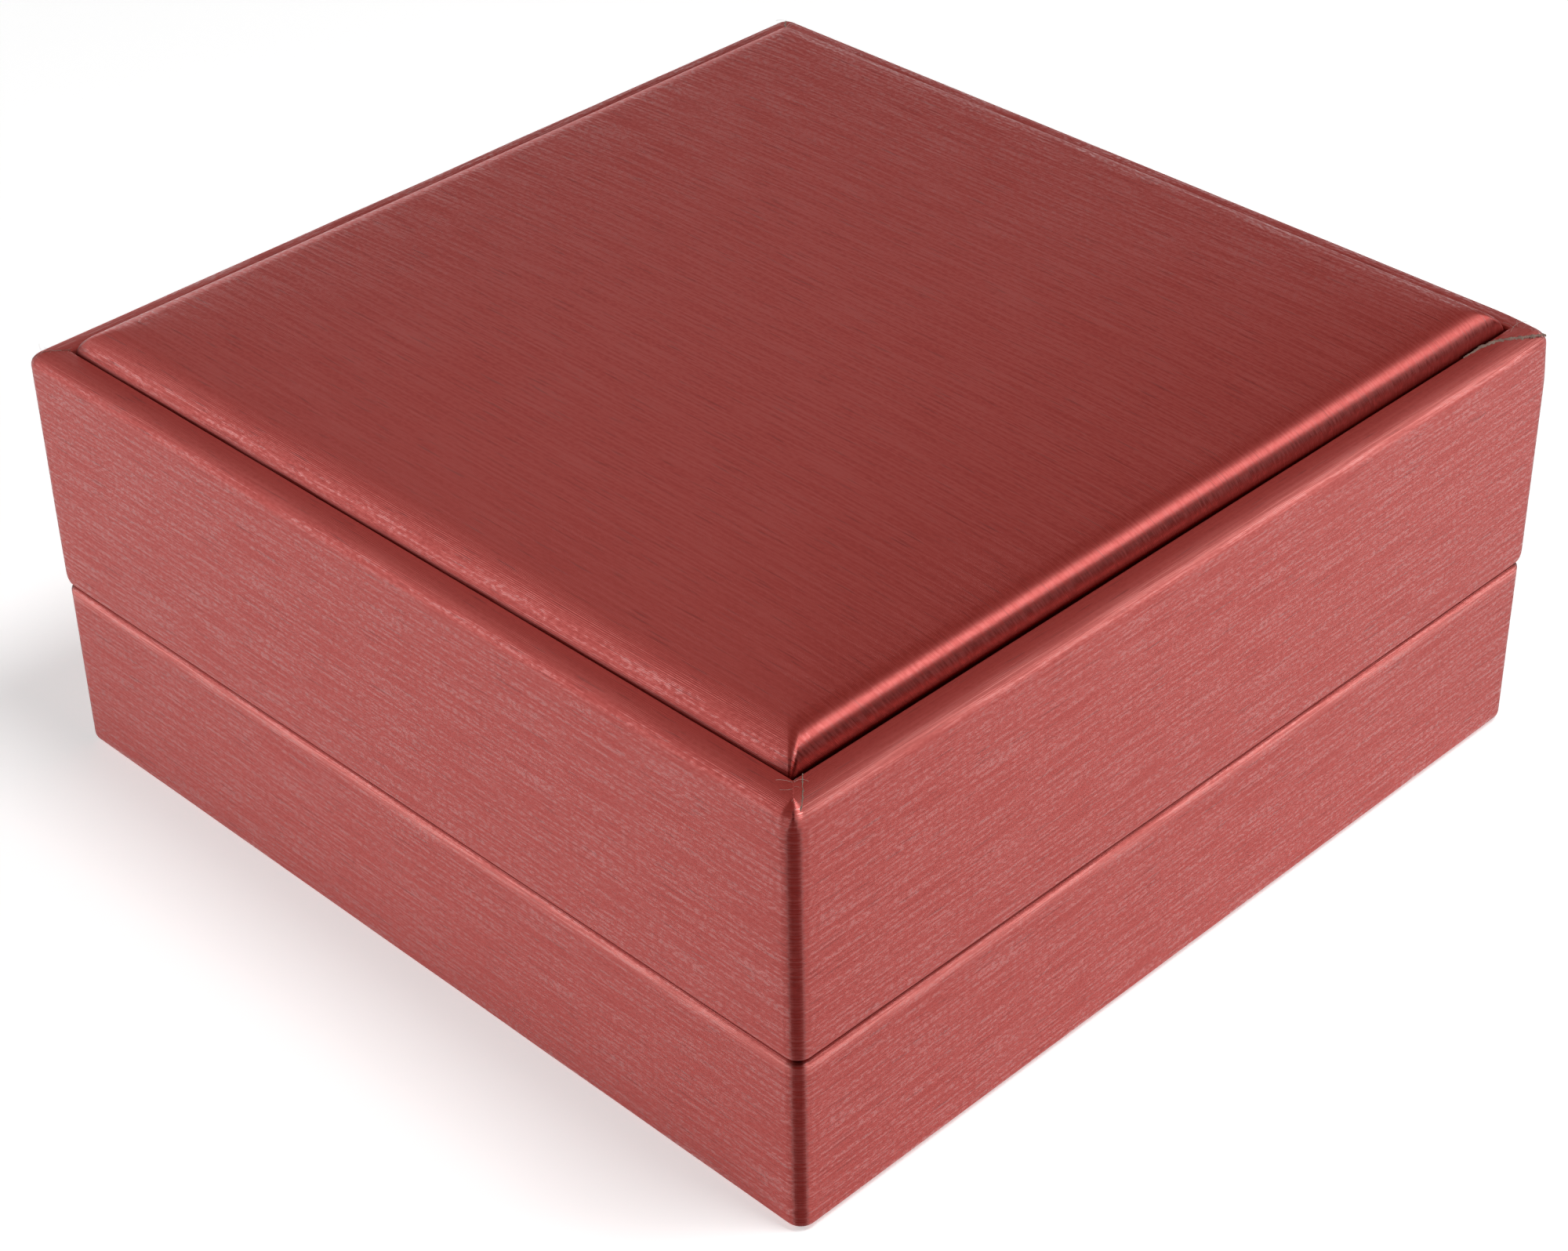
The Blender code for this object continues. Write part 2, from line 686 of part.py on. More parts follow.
def build_leaf(name, side, x, body, shell, inner_face, facing, materials):
    """One leaf with its recess, its tacks and their holes. Facing is -1 for the lid's leaf, 1 for the base's."""
    leaf = extruded(name, leaf_outline(inner_face, facing), HINGE_LENGTH / 2, materials["hinge_brass"])
    place(leaf, body, x, LID_HALF_Y, SEAM_HEIGHT)
    middle = HINGE_LENGTH * MIDDLE_KNUCKLE_SHARE / 2
    if facing > 0:
        ranges = [(-middle - HINGE_GAP, middle + HINGE_GAP)]
    else:
        ranges = [(-HINGE_LENGTH / 2 - OVERRUN, -middle), (middle, HINGE_LENGTH / 2 + OVERRUN)]
    for count, (start, end) in enumerate(ranges):
        tool = cylinder_along_x(f"{name}_knuckle_cutter_{count}", POCKET_RADIUS, start, end)
        cut(leaf, place(tool, body, x, LID_HALF_Y, SEAM_HEIGHT))
    reach = HINGE_LENGTH / 2 + OVERRUN
    bore = cylinder_along_x(f"{name}_bore_cutter", PIN_RADIUS + HINGE_GAP, -reach, reach)
    cut(leaf, place(bore, body, x, LID_HALF_Y, SEAM_HEIGHT))

    recess = cutter(extruded(f"{name}_recess_cutter", recess_outline(inner_face, facing), RECESS_HALF))
    place(recess, body, x, LID_HALF_Y, SEAM_HEIGHT)
    cut(shell["wrap"], recess)
    cut(shell["back"], recess)

    tack_z = SEAM_HEIGHT - facing * TACK_DROP
    head_y = LID_HALF_Y - inner_face - GLUE_GAP - TACK_HEAD_THICKNESS
    length = TACK_HEAD_THICKNESS + GLUE_GAP + WRAP_THICKNESS + GLUE_GAP + BOARD_THICKNESS / 2
    body_name = "base" if facing > 0 else "lid"
    for place_name, sign in (("outer", side), ("inner", -side)):
        tack_x = x + sign * TACK_OFFSET
        tack_name = f"{name[:name.index('_leaf')]}_tack_{place_name}"
        tack = turned(tack_name, tack_profile(length), materials["hinge_brass"])
        tack.rotation_euler.z = TURN / 4
        place(tack, body, tack_x, head_y, tack_z)
        hole_end = TACK_HEAD_THICKNESS + GLUE_GAP + WRAP_THICKNESS + GLUE_GAP + BOARD_THICKNESS + GLUE_GAP / 2
        hole = cylinder_along_x(f"{tack_name}_hole_cutter", TACK_SHANK_RADIUS + HINGE_GAP, 0.0, hole_end)
        hole.rotation_euler.z = TURN / 4
        place(hole, body, tack_x, head_y, tack_z)
        cut(leaf, hole)
        cut(shell["back"], hole)
    pocket_half = TACK_OFFSET + TACK_HEAD_RADIUS + HINGE_GAP
    pocket_depth = TACK_HEAD_THICKNESS + HINGE_GAP
    pocket = slab(
        f"{body_name}_{name}_pocket_cutter",
        pocket_half,
        pocket_depth,
        2 * (TACK_HEAD_RADIUS + HINGE_GAP),
        LINING_EDGE,
        LINING_EDGE,
    )
    pocket_y = LID_HALF_Y - inner_face - GLUE_GAP
    place(cutter(pocket), body, x, pocket_y, tack_z - TACK_HEAD_RADIUS - HINGE_GAP)
    cut(shell["linings"]["back"], pocket)


def build_hinge(name, side, base_body, lid_body, base, lid, materials):
    """One hinge: a leaf in each body and the pin that the base's knuckles hold."""
    x = side * (LID_HALF_X - HINGE_END_INSET)
    base_inner = BASE_SETBACK + WALL_THICKNESS
    build_leaf(f"{name}_base_leaf", side, x, base_body, base, base_inner, 1, materials)
    build_leaf(f"{name}_lid_leaf", side, x, lid_body, lid, WALL_THICKNESS, -1, materials)
    end = HINGE_LENGTH / 2 + HINGE_GAP
    profile = [
        (-end, PIN_RADIUS * CHAMFER_SHARE),
        (-end + PIN_RADIUS * CHAMFER_SHARE, PIN_RADIUS),
        (end, PIN_RADIUS),
        (end, PIN_HEAD_RADIUS),
        (end + PIN_HEAD_LENGTH * CHAMFER_SHARE, PIN_HEAD_RADIUS),
        (end + PIN_HEAD_LENGTH, PIN_HEAD_RADIUS * CHAMFER_SHARE),
    ]
    pin = turned(f"{name}_pin", profile, materials["hinge_brass"])
    if side < 0:
        pin.rotation_euler.z = TURN / 2
    place(pin, base_body, x, LID_HALF_Y, SEAM_HEIGHT)


def build_magnet(name, body, board, half_y, bottom, top, materials):
    """A bar magnet in a notch of a front board, level with the board's faces."""
    middle_y = -(half_y - BOARD_INSET - BOARD_THICKNESS / 2)
    magnet = slab(
        name,
        MAGNET_LENGTH / 2,
        BOARD_THICKNESS / 2,
        MAGNET_HEIGHT,
        BOARD_EDGE,
        BOARD_EDGE,
        materials["nickel_plate"],
    )
    at_top = top is not None
    magnet_bottom = top - MAGNET_HEIGHT if at_top else bottom
    place(magnet, body, y=middle_y, z=magnet_bottom)
    notch_bottom = magnet_bottom - GLUE_GAP if at_top else bottom - OVERRUN
    notch_height = MAGNET_HEIGHT + GLUE_GAP + OVERRUN
    notch = slab(
        name + "_notch_cutter",
        MAGNET_LENGTH / 2 + GLUE_GAP,
        BOARD_THICKNESS / 2 + OVERRUN,
        notch_height,
        BOARD_EDGE,
        BOARD_EDGE,
    )
    place(cutter(notch), body, y=middle_y, z=notch_bottom)
    cut(board, notch)


def build_box():
    clear_scene()
    makers = (
        brushed_leatherette,
        greyboard,
        pad_foam,
        dark_velour,
        ivory_velour,
        ivory_satin,
        hinge_brass,
        nickel_plate,
    )
    materials = {maker.__name__: maker() for maker in makers}
    base_body = body_empty("base_body", (0.0, 0.0, 0.0))
    lid_body = body_empty("lid_hinge_axis", (0.0, LID_HALF_Y, SEAM_HEIGHT))
    base = build_base(base_body, materials)
    lid = build_lid(lid_body, materials)
    build_panel(lid_body, materials)
    build_satin_pad(lid_body, materials)
    build_insert(base_body, materials)
    build_hinge("hinge_left", -1, base_body, lid_body, base, lid, materials)
    build_hinge("hinge_right", 1, base_body, lid_body, base, lid, materials)
    build_magnet("base_magnet", base_body, base["front"], BASE_HALF_Y, None, BASE_BOARD_TOP, materials)
    build_magnet("lid_magnet", lid_body, lid["front"], LID_HALF_Y, LID_BOARD_BOTTOM, None, materials)


build_box()
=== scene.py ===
"""A closed bracelet box on a pale floor: wrapped boards, a padded panel in the lid, a velour interior and two hinges.

Metres, +Z up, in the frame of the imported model. The front of the box is -Y and its hinges are at +Y.
"""

import math
from collections import namedtuple

import bmesh
import bpy
import numpy
from mathutils import Matrix, Vector, noise


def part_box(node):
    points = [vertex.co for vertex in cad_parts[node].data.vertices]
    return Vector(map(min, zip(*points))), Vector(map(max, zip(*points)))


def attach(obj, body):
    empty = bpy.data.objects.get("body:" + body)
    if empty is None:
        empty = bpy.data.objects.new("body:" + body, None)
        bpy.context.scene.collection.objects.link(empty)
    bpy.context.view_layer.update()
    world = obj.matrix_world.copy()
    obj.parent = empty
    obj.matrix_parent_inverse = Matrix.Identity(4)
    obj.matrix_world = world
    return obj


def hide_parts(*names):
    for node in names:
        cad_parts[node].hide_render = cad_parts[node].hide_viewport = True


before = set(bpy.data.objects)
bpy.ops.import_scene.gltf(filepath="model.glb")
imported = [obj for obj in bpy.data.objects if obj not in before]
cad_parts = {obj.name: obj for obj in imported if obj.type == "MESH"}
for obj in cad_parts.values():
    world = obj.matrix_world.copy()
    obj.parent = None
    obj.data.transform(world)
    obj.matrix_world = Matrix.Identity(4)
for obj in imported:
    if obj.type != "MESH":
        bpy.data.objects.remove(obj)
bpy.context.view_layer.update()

TURN = 2 * math.pi

# Camera
# A lens of 77 mm stands 0.3 m off the near corner, looks down at it and leans a little to the left.
CAMERA_PLACE = Vector((0.17083, -0.16928, 0.17986))
CAMERA_AIM = Vector((0.00849, -0.00960, 0.02000))
CAMERA_LEAN = math.radians(-1.15)
CAMERA_LENS = 76.83
CAMERA_SENSOR = 36.0
CAMERA_NEAREST = 0.01


def linked(name, data):
    """A new object in the scene."""
    obj = bpy.data.objects.new(name, data)
    bpy.context.scene.collection.objects.link(obj)
    return obj


camera_data = bpy.data.cameras.new("camera")
camera_data.sensor_width = CAMERA_SENSOR
camera_data.lens = CAMERA_LENS
camera_data.clip_start = CAMERA_NEAREST
camera = linked("camera", camera_data)
upright = (CAMERA_AIM - CAMERA_PLACE).to_track_quat("-Z", "Y").to_matrix()
camera.matrix_world = Matrix.Translation(CAMERA_PLACE) @ (upright @ Matrix.Rotation(CAMERA_LEAN, 3, "Z")).to_4x4()
bpy.context.scene.camera = camera
bpy.context.scene.view_settings.view_transform = "Standard"


def feed(tree, made, inputs):
    """Gives a node's inputs their values, or the sockets that feed them."""
    for socket, value in inputs.items():
        if isinstance(value, bpy.types.NodeSocket):
            tree.links.new(value, made.inputs[socket])
        else:
            made.inputs[socket].default_value = value


def node(tree, kind, inputs=None, **settings):
    """A node in the tree, with its settings and inputs."""
    made = tree.nodes.new(kind)
    for name, value in settings.items():
        setattr(made, name, value)
    feed(tree, made, inputs or {})
    return made


def calculated(tree, operation, *values):
    """The result of one step of arithmetic."""
    return node(tree, "ShaderNodeMath", dict(enumerate(values)), operation=operation).outputs[0]


def times(tree, *values):
    return calculated(tree, "MULTIPLY", *values)


def own_place(tree):
    """The place on a piece, in metres."""
    return node(tree, "ShaderNodeTexCoord").outputs["Object"]


def new_material(name):
    """An empty material: the material, its node tree, and its Principled shader."""
    material = bpy.data.materials.new(name)
    material.use_nodes = True
    tree = material.node_tree
    return material, tree, tree.nodes["Principled BSDF"]


# Floor and light
# A wide white table top that curves up far behind, softboxes over and beside the box, and a dim pale room.
FLOOR_RADIUS = 3.0
FLOOR_DROP = 0.00004
SWEEP_RADIUS = 0.6
SWEEP_STEPS = 8
FLOOR_SIDES = 96
FLOOR_COLOUR = (0.90, 0.90, 0.90, 1.0)
FLOOR_ROUGHNESS = 0.9
FLOOR_GLOW = 0.50
GLOW_NEAR = 0.4
GLOW_FAR = 1.4
ROOM_COLOUR = (1.0, 0.99, 0.98, 1.0)
ROOM_LEVEL = 0.03

floor_rows = [(FLOOR_RADIUS - SWEEP_RADIUS, -FLOOR_DROP)]
for step in range(1, SWEEP_STEPS + 1):
    angle = TURN / 4 * step / SWEEP_STEPS
    rise = SWEEP_RADIUS * (1 - math.cos(angle))
    floor_rows.append((FLOOR_RADIUS - SWEEP_RADIUS * (1 - math.sin(angle)), rise - FLOOR_DROP))
floor_rows.append((FLOOR_RADIUS, 2 * SWEEP_RADIUS))
turns = [TURN * side / FLOOR_SIDES for side in range(FLOOR_SIDES)]
floor_points = [(reach * math.cos(turn), reach * math.sin(turn), z) for reach, z in floor_rows for turn in turns]
floor_faces = [tuple(range(FLOOR_SIDES))]
for row in range(len(floor_rows) - 1):
    for side in range(FLOOR_SIDES):
        near, far = row * FLOOR_SIDES, (row + 1) * FLOOR_SIDES
        following = (side + 1) % FLOOR_SIDES
        floor_faces.append((near + side, far + side, far + following, near + following))
floor_mesh = bpy.data.meshes.new("floor")
floor_mesh.from_pydata(floor_points, [], floor_faces)
floor_mesh.shade_smooth()
floor = linked("floor", floor_mesh)

floor_material, tree, shader = new_material("white_table")
rays = node(tree, "ShaderNodeLightPath").outputs
seen = calculated(tree, "MAXIMUM", rays["Is Camera Ray"], rays["Is Glossy Ray"])
seen = calculated(tree, "MAXIMUM", seen, rays["Is Transmission Ray"])
away = node(tree, "ShaderNodeVectorMath", {0: own_place(tree)}, operation="LENGTH").outputs["Value"]
glow = {"Value": away, "From Min": GLOW_NEAR, "From Max": GLOW_FAR, "To Min": FLOOR_GLOW, "To Max": 1.0}
glow = node(tree, "ShaderNodeMapRange", glow).outputs["Result"]
feed(tree, shader, {
    "Base Color": FLOOR_COLOUR, "Roughness": FLOOR_ROUGHNESS, "Emission Color": (1.0, 1.0, 1.0, 1.0),
    "Emission Strength": times(tree, seen, glow),
})
floor_mesh.materials.append(floor_material)

world = bpy.data.worlds.new("pale_room")
bpy.context.scene.world = world
world.use_nodes = True
feed(world.node_tree, world.node_tree.nodes["Background"], {"Color": ROOM_COLOUR, "Strength": ROOM_LEVEL})


def softbox(name, place, aim, width, height, power):
    """A rectangular lamp that faces a point; its width lies level."""
    data = bpy.data.lights.new(name, "AREA")
    data.shape = "RECTANGLE"
    data.size = width
    data.size_y = height
    data.energy = power
    lamp = linked(name, data)
    lamp.location = place
    lamp.rotation_mode = "QUATERNION"
    lamp.rotation_quaternion = (Vector(aim) - Vector(place)).to_track_quat("-Z", "Y")
    return lamp


lamp_aim = Vector((0.0, 0.0, 0.02))
for side, toward, reach, size, power in (
    ("front_middle", (-0.58, -0.63, 0.52), 0.75, 0.35, 1.14),
    ("left_low", (-0.85, -0.50, 0.15), 0.75, 0.35, 0.35),
    ("right_high", (0.34, 0.10, 0.93), 0.75, 0.22, 2.60),
    ("back_high", (0.34, 0.35, 0.87), 0.75, 0.24, 0.30),
    ("back_right", (0.70, 0.60, 0.38), 0.40, 0.20, 0.24),
    ("back_far", (0.60, 0.78, 0.18), 0.60, 0.30, 0.12),
):
    place = lamp_aim + reach * Vector(toward).normalized()
    softbox(f"softbox_{side}", place, lamp_aim, size, size, power)

# Boards
# Every wall, floor and top is a strip of pressed grey-brown board, glued inside the wraps and covers.
BOARD_NODES = [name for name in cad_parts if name.endswith("_board")]


def node_group(name, sizes, outputs):
    """A shader node group of a vector and some sizes: its tree, its inputs, and the node that takes its outputs."""
    tree = bpy.data.node_groups.new(name, "ShaderNodeTree")
    tree.interface.new_socket("Vector", in_out="INPUT", socket_type="NodeSocketVector")
    for socket, value in sizes.items():
        tree.interface.new_socket(socket, in_out="INPUT", socket_type="NodeSocketFloat").default_value = value
    for socket in outputs:
        tree.interface.new_socket(socket, in_out="OUTPUT", socket_type="NodeSocketFloat")
    return tree, tree.nodes.new("NodeGroupInput").outputs, tree.nodes.new("NodeGroupOutput")


def placed(tree, group, **inputs):
    """The outputs of a group placed in a material with its own values."""
    return node(tree, "ShaderNodeGroup", inputs, node_tree=group).outputs


def noised(tree, place, scale, detail, distortion=0.0):
    """Noise of a scale and as many finer layers as the detail."""
    inputs = {"Vector": place, "Scale": scale, "Detail": detail, "Distortion": distortion}
    return node(tree, "ShaderNodeTexNoise", inputs).outputs["Fac"]


def measured(tree, place, size):
    """A place counted in steps of a size."""
    scale = calculated(tree, "DIVIDE", 1.0, size)
    return node(tree, "ShaderNodeVectorMath", {0: place, "Scale": scale}, operation="SCALE").outputs[0]


def stretched_noise(tree, vector, sizes, detail=2.0):
    """Noise whose spots are as long as the sizes along each direction."""
    shares = tuple(1 / size for size in sizes)
    place = node(tree, "ShaderNodeVectorMath", {0: vector, 1: shares}, operation="MULTIPLY").outputs[0]
    return noised(tree, place, 1.0, detail)


def stepped(tree, value, low, high, out_low=0.0, out_high=1.0):
    """The value's part between low and high, spread out smoothly between two others."""
    levels = {"Value": value, "From Min": low, "From Max": high, "To Min": out_low, "To Max": out_high}
    return node(tree, "ShaderNodeMapRange", levels, interpolation_type="SMOOTHSTEP").outputs["Result"]


def mixed(tree, share, first, second):
    """A colour between two others, each a socket or its red, green and blue."""
    colours = {"Factor": share}
    for socket, colour in ((6, first), (7, second)):
        colours[socket] = colour if isinstance(colour, bpy.types.NodeSocket) else (*colour, 1.0)
    return node(tree, "ShaderNodeMix", colours, data_type="RGBA").outputs[2]


def raised(tree, shader, height, distance):
    """Gives a shader relief from a height."""
    bump = node(tree, "ShaderNodeBump", {"Height": height, "Distance": distance})
    feed(tree, shader, {"Normal": bump.outputs["Normal"]})


fleck_group, given, result = node_group("flecks", {"Size": 0.001}, ("Mottle", "Fleck"))
tree = fleck_group
place = measured(tree, given["Vector"], given["Size"])
fleck = stepped(tree, noised(tree, place, 1.0, 3.0), 0.52, 0.68)
feed(tree, result, {"Mottle": noised(tree, place, 0.25, 5.0), "Fleck": fleck})


def flecked(name, size, dark, pale, speck, share, roughness, relief):
    """Board or paper: mottled between two colours, with a share of specks of a third."""
    material, tree, shader = new_material(name)
    flecks = placed(tree, fleck_group, Vector=own_place(tree), Size=size)
    colour = mixed(tree, flecks["Mottle"], dark, pale)
    colour = mixed(tree, times(tree, flecks["Fleck"], share), colour, speck)
    feed(tree, shader, {"Base Color": colour, "Roughness": roughness})
    raised(tree, shader, flecks["Mottle"], relief)
    return material


greyboard = flecked(
    "greyboard", size=0.0006, dark=(0.24, 0.21, 0.18), pale=(0.36, 0.33, 0.28), speck=(0.16, 0.13, 0.11),
    share=0.5, roughness=0.9, relief=0.00002,
)


def finish_node(name, material):
    """Gives a carried-over CAD node its finish."""
    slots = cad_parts[name].data.materials
    slots.clear()
    slots.append(material)


for name in BOARD_NODES:
    finish_node(name, greyboard)

# Wraps
# One sheet of brushed metallic leatherette on paper goes over the walls of each half, and its edges are glued
# inside. It is drawn round the boards with its ribs level, so they follow every edge, and is mitred at the corners.
WRAP_THICKNESS = 0.00020
CORNER_RADIUS = 0.0015
RIM_IN = 0.0021
RIM_DOWN = 0.00115
FOOT_RADIUS = 0.0008
FOLD_RADIUS = 0.00025
TIGHT_RADIUS = 0.00004
LID_CURL_IN = 0.00045
LID_CURL_UP = 0.0012
BASE_CURL_IN = 0.0004
BASE_CURL_DOWN = 0.0005
WALL_THICKNESS = 0.0026
RIM_WIDTH = 0.0029
TURN_IN = 0.0060
RECESS_TUCK = 0.0027
RIB_PITCH = 0.000128
RIB_DEPTH = 0.0000055
LINE_SIZE = (0.0080, 0.00023, 1.0)
GLINT_SIZE = (0.00050, 0.00028, 1.0)
SHADE_SIZE = (0.022, 0.0020, 1.0)
SCRATCH_SIZE = (0.0040, 0.00022, 1.0)
SWAY_SIZE = (0.0014, 0.00026, 1.0)
SWAY_RISE = 2.6
WANDER_SIZE = (0.030, 0.0011, 1.0)
WANDER_PITCHES = 3.0
LINE_SHARE = 0.50
GLINT_SHARE = 0.40
SHADE_SHARE = 0.10
SCRATCH_SHARE = 0.5
RED_DEEP = (0.458, 0.040, 0.0295)
RED_BRIGHT = (0.552, 0.0545, 0.0400)
RED_SCRATCHED = (0.240, 0.018, 0.014)
# Colour of the painted highlight along the lid's rim and along the base's top edge under the seam.
RED_PAINTED_HIGHLIGHT = (0.900, 0.230, 0.200)
# Colour and metal share of the painted shade round the upright corners and at the panel's sides and foot.
RED_PAINTED_SHADE = (0.170, 0.010, 0.007)
PAINTED_SHADE_METAL = 0.95
PAINTED_HIGHLIGHT_SMOOTH = 0.04
LACQUER_ROUGHNESS = 0.25
LEATHERETTE_IOR = 2.0
LEATHERETTE_GRAIN = 0.95
QUARTER_TURNED = 0.25
WRAP_UNEVEN = 0.000022
UNEVEN_SIZE = 0.011
UNEVEN_SEED = 11
SLUMP = 0.0002
SLUMP_WAY = Vector((1.0, 1.0, 0.8))
SLUMP_REACH = 0.0055
ARC_STEPS = 10
CORNER_STEPS = 12
SIDE_STEPS = 60
STRETCH_STEP = 0.0008
SHARP_ANGLE = math.radians(38)
# The painted shade round the upright corners: its width, how dark it is, its fade below the rim's top, and its ragged
# edge.
EDGE_BAND = math.radians(37)
EDGE_DEPTH = 0.80
EDGE_FADE = 0.0016
EDGE_FULL = 1.3
EDGE_TOP = 0.0004
EDGE_RAGGED = 0.22
# Painted highlights: a pale line on the rounding of the lid's rim on its two sides, and one along the base's top edge
# under the seam.
RIM_HIGHLIGHT_DROP = 0.00055
RIM_HIGHLIGHT_REACH = 0.0006
RIM_HIGHLIGHT_SHARE = 0.75
SEAM_HIGHLIGHT_DROP = 0.00035
SEAM_HIGHLIGHT_REACH = 0.00048
SEAM_HIGHLIGHT_SHARE = 0.85

HINGE_X = 0.0240
HINGE_Y = 0.0450
HINGE_Z = 0.0168
LEAF_REACH = 0.0080
LEAF_ROOM = 0.00025
STRAP_ROOM = 0.000625
SLOT_INSET = 0.000475
POCKET_RADIUS = 0.00140
POCKET_HALF = 0.0089
POCKET_STEPS = 24
BASE_SETBACK = 0.00015
OVERRUN = 0.0010

rib_outputs = ("Height", "Line", "Tone", "Scratch", "Glint")
rib_group, given, result = node_group("brushed_ribs", {"Pitch": RIB_PITCH, "Depth": RIB_DEPTH}, rib_outputs)
tree = rib_group
cloth_place = given["Vector"]
across = node(tree, "ShaderNodeSeparateXYZ", {0: cloth_place}).outputs["Y"]
wander = times(tree, stretched_noise(tree, cloth_place, WANDER_SIZE), WANDER_PITCHES)
rib = calculated(tree, "ADD", calculated(tree, "DIVIDE", across, given["Pitch"]), wander)
wave = calculated(tree, "SINE", times(tree, rib, TURN))
line, glint, shade = (
    stepped(tree, stretched_noise(tree, cloth_place, size, detail), 0.30, 0.70)
    for size, detail in ((LINE_SIZE, 1.0), (GLINT_SIZE, 1.0), (SHADE_SIZE, 3.0))
)
sway = times(tree, stretched_noise(tree, cloth_place, SWAY_SIZE, 1.0), SWAY_RISE)
relief = times(tree, wave, stepped(tree, line, 0.0, 1.0, 0.4, 1.2))
relief = times(tree, calculated(tree, "ADD", relief, sway), given["Depth"])
tone = times(tree, line, LINE_SHARE)
tone = calculated(tree, "ADD", tone, times(tree, glint, GLINT_SHARE))
tone = calculated(tree, "ADD", tone, times(tree, shade, SHADE_SHARE))
scratch = stepped(tree, stretched_noise(tree, cloth_place, SCRATCH_SIZE, 1.0), 0.38, 0.27)
feed(tree, result, {"Height": relief, "Line": line, "Tone": tone, "Scratch": scratch, "Glint": glint})


def grained(tree, shader, amount):
    """Draws out a cloth's highlights across its ribs or threads."""
    along = node(tree, "ShaderNodeTangent", direction_type="UV_MAP", uv_map="ribs").outputs["Tangent"]
    feed(tree, shader, {"Anisotropic": amount, "Anisotropic Rotation": QUARTER_TURNED, "Tangent": along})


leatherette, tree, shader = new_material("brushed_leatherette")
cloth_place = node(tree, "ShaderNodeUVMap", uv_map="ribs").outputs["UV"]
ribs = placed(tree, rib_group, Vector=cloth_place, Pitch=RIB_PITCH, Depth=RIB_DEPTH)
# Painted shade, from each point's stored share: darker, deeper red and more metallic round the upright corners and at
# the panel's sides and foot.
painted_shade = node(tree, "ShaderNodeAttribute", attribute_name="painted_shade").outputs["Fac"]
ragged = times(tree, calculated(tree, "SUBTRACT", ribs["Line"], 0.5), EDGE_RAGGED)
painted_shade = stepped(tree, calculated(tree, "ADD", painted_shade, ragged), 0.10, 0.90)
# Painted highlight, from each point's stored share: paler pink and a little smoother along the lid's rim and the
# base's top edge.
painted_highlight = node(tree, "ShaderNodeAttribute", attribute_name="painted_highlight").outputs["Fac"]
painted_highlight = times(tree, painted_highlight, stepped(tree, ribs["Line"], 0.25, 0.75, 0.50, 1.0))
red = mixed(tree, ribs["Tone"], RED_DEEP, RED_BRIGHT)
red = mixed(tree, times(tree, ribs["Scratch"], SCRATCH_SHARE), red, RED_SCRATCHED)
red = mixed(tree, painted_shade, mixed(tree, painted_highlight, red, RED_PAINTED_HIGHLIGHT), RED_PAINTED_SHADE)
metal = stepped(tree, ribs["Tone"], 0.0, 1.0, 0.58, 0.42)
metal = calculated(tree, "MAXIMUM", metal, times(tree, painted_shade, PAINTED_SHADE_METAL))
rough = stepped(tree, ribs["Tone"], 0.0, 1.0, 0.49, 0.35)
rough = calculated(tree, "SUBTRACT", rough, times(tree, painted_highlight, PAINTED_HIGHLIGHT_SMOOTH))
lacquer = stepped(tree, times(tree, ribs["Glint"], ribs["Line"]), 0.20, 0.75, 0.0, 0.6)
lacquer = times(tree, lacquer, calculated(tree, "SUBTRACT", 1.0, painted_shade))
feed(tree, shader, {
    "Base Color": red, "Metallic": metal, "Roughness": rough, "IOR": LEATHERETTE_IOR,
    "Coat Weight": lacquer, "Coat Roughness": LACQUER_ROUGHNESS,
})
raised(tree, shader, ribs["Height"], 1.0)
grained(tree, shader, LEATHERETTE_GRAIN)

paper_backing = flecked(
    "paper_backing", size=0.0004, dark=(0.50, 0.40, 0.35), pale=(0.72, 0.64, 0.58), speck=(0.30, 0.12, 0.10),
    share=0.6, roughness=0.85, relief=0.00003,
)


def outline(half_x, half_y, radius, corner_steps, side_steps):
    """Points (x, y) round a rectangle with rounded corners, from the middle of its back, turning left."""
    radius = min(radius, half_x, half_y)
    corners = []
    for quarter, (side_x, side_y) in enumerate(((-1, 1), (-1, -1), (1, -1), (1, 1)), 1):
        centre = Vector((side_x * (half_x - radius), side_y * (half_y - radius)))
        turns = [TURN / 4 * (quarter + step / corner_steps) for step in range(corner_steps + 1)]
        corners.append([centre + radius * Vector((math.cos(turn), math.sin(turn))) for turn in turns])
    middle = Vector((0.0, half_y))
    points = [middle.lerp(corners[0][0], 2 * step / side_steps) for step in range(side_steps // 2)]
    for corner, following in zip(corners, corners[1:]):
        points += corner
        points += [corner[-1].lerp(following[0], step / side_steps) for step in range(1, side_steps)]
    points += corners[-1]
    points += [corners[-1][-1].lerp(middle, 2 * step / side_steps) for step in range(1, side_steps // 2)]
    return points


def direction(start, end):
    return Vector((end[0] - start[0], end[1] - start[1])).normalized()


def rounded_section(corners):
    """Points of a path of upright and level stretches; a corner is (inset, z, radius in inset, radius in z)."""
    points = [Vector(corners[0][:2])]

    def reach(point):
        start = points[-1]
        count = max(1, math.ceil((point - start).length / STRETCH_STEP))
        points.extend(start.lerp(point, step / count) for step in range(1, count + 1))

    for before, corner, after in zip(corners, corners[1:], corners[2:]):
        came, goes = direction(before, corner), direction(corner, after)
        radius = Vector(corner[2:])
        centre = Vector(corner[:2]) - came * (radius.x if came.x else radius.y)
        centre += goes * (radius.x if goes.x else radius.y)
        for step in range(ARC_STEPS + 1):
            angle = TURN / 4 * step / ARC_STEPS
            arm = came * math.sin(angle) - goes * math.cos(angle)
            reach(centre + Vector((arm.x * radius.x, arm.y * radius.y)))
    reach(Vector(corners[-1][:2]))
    return points


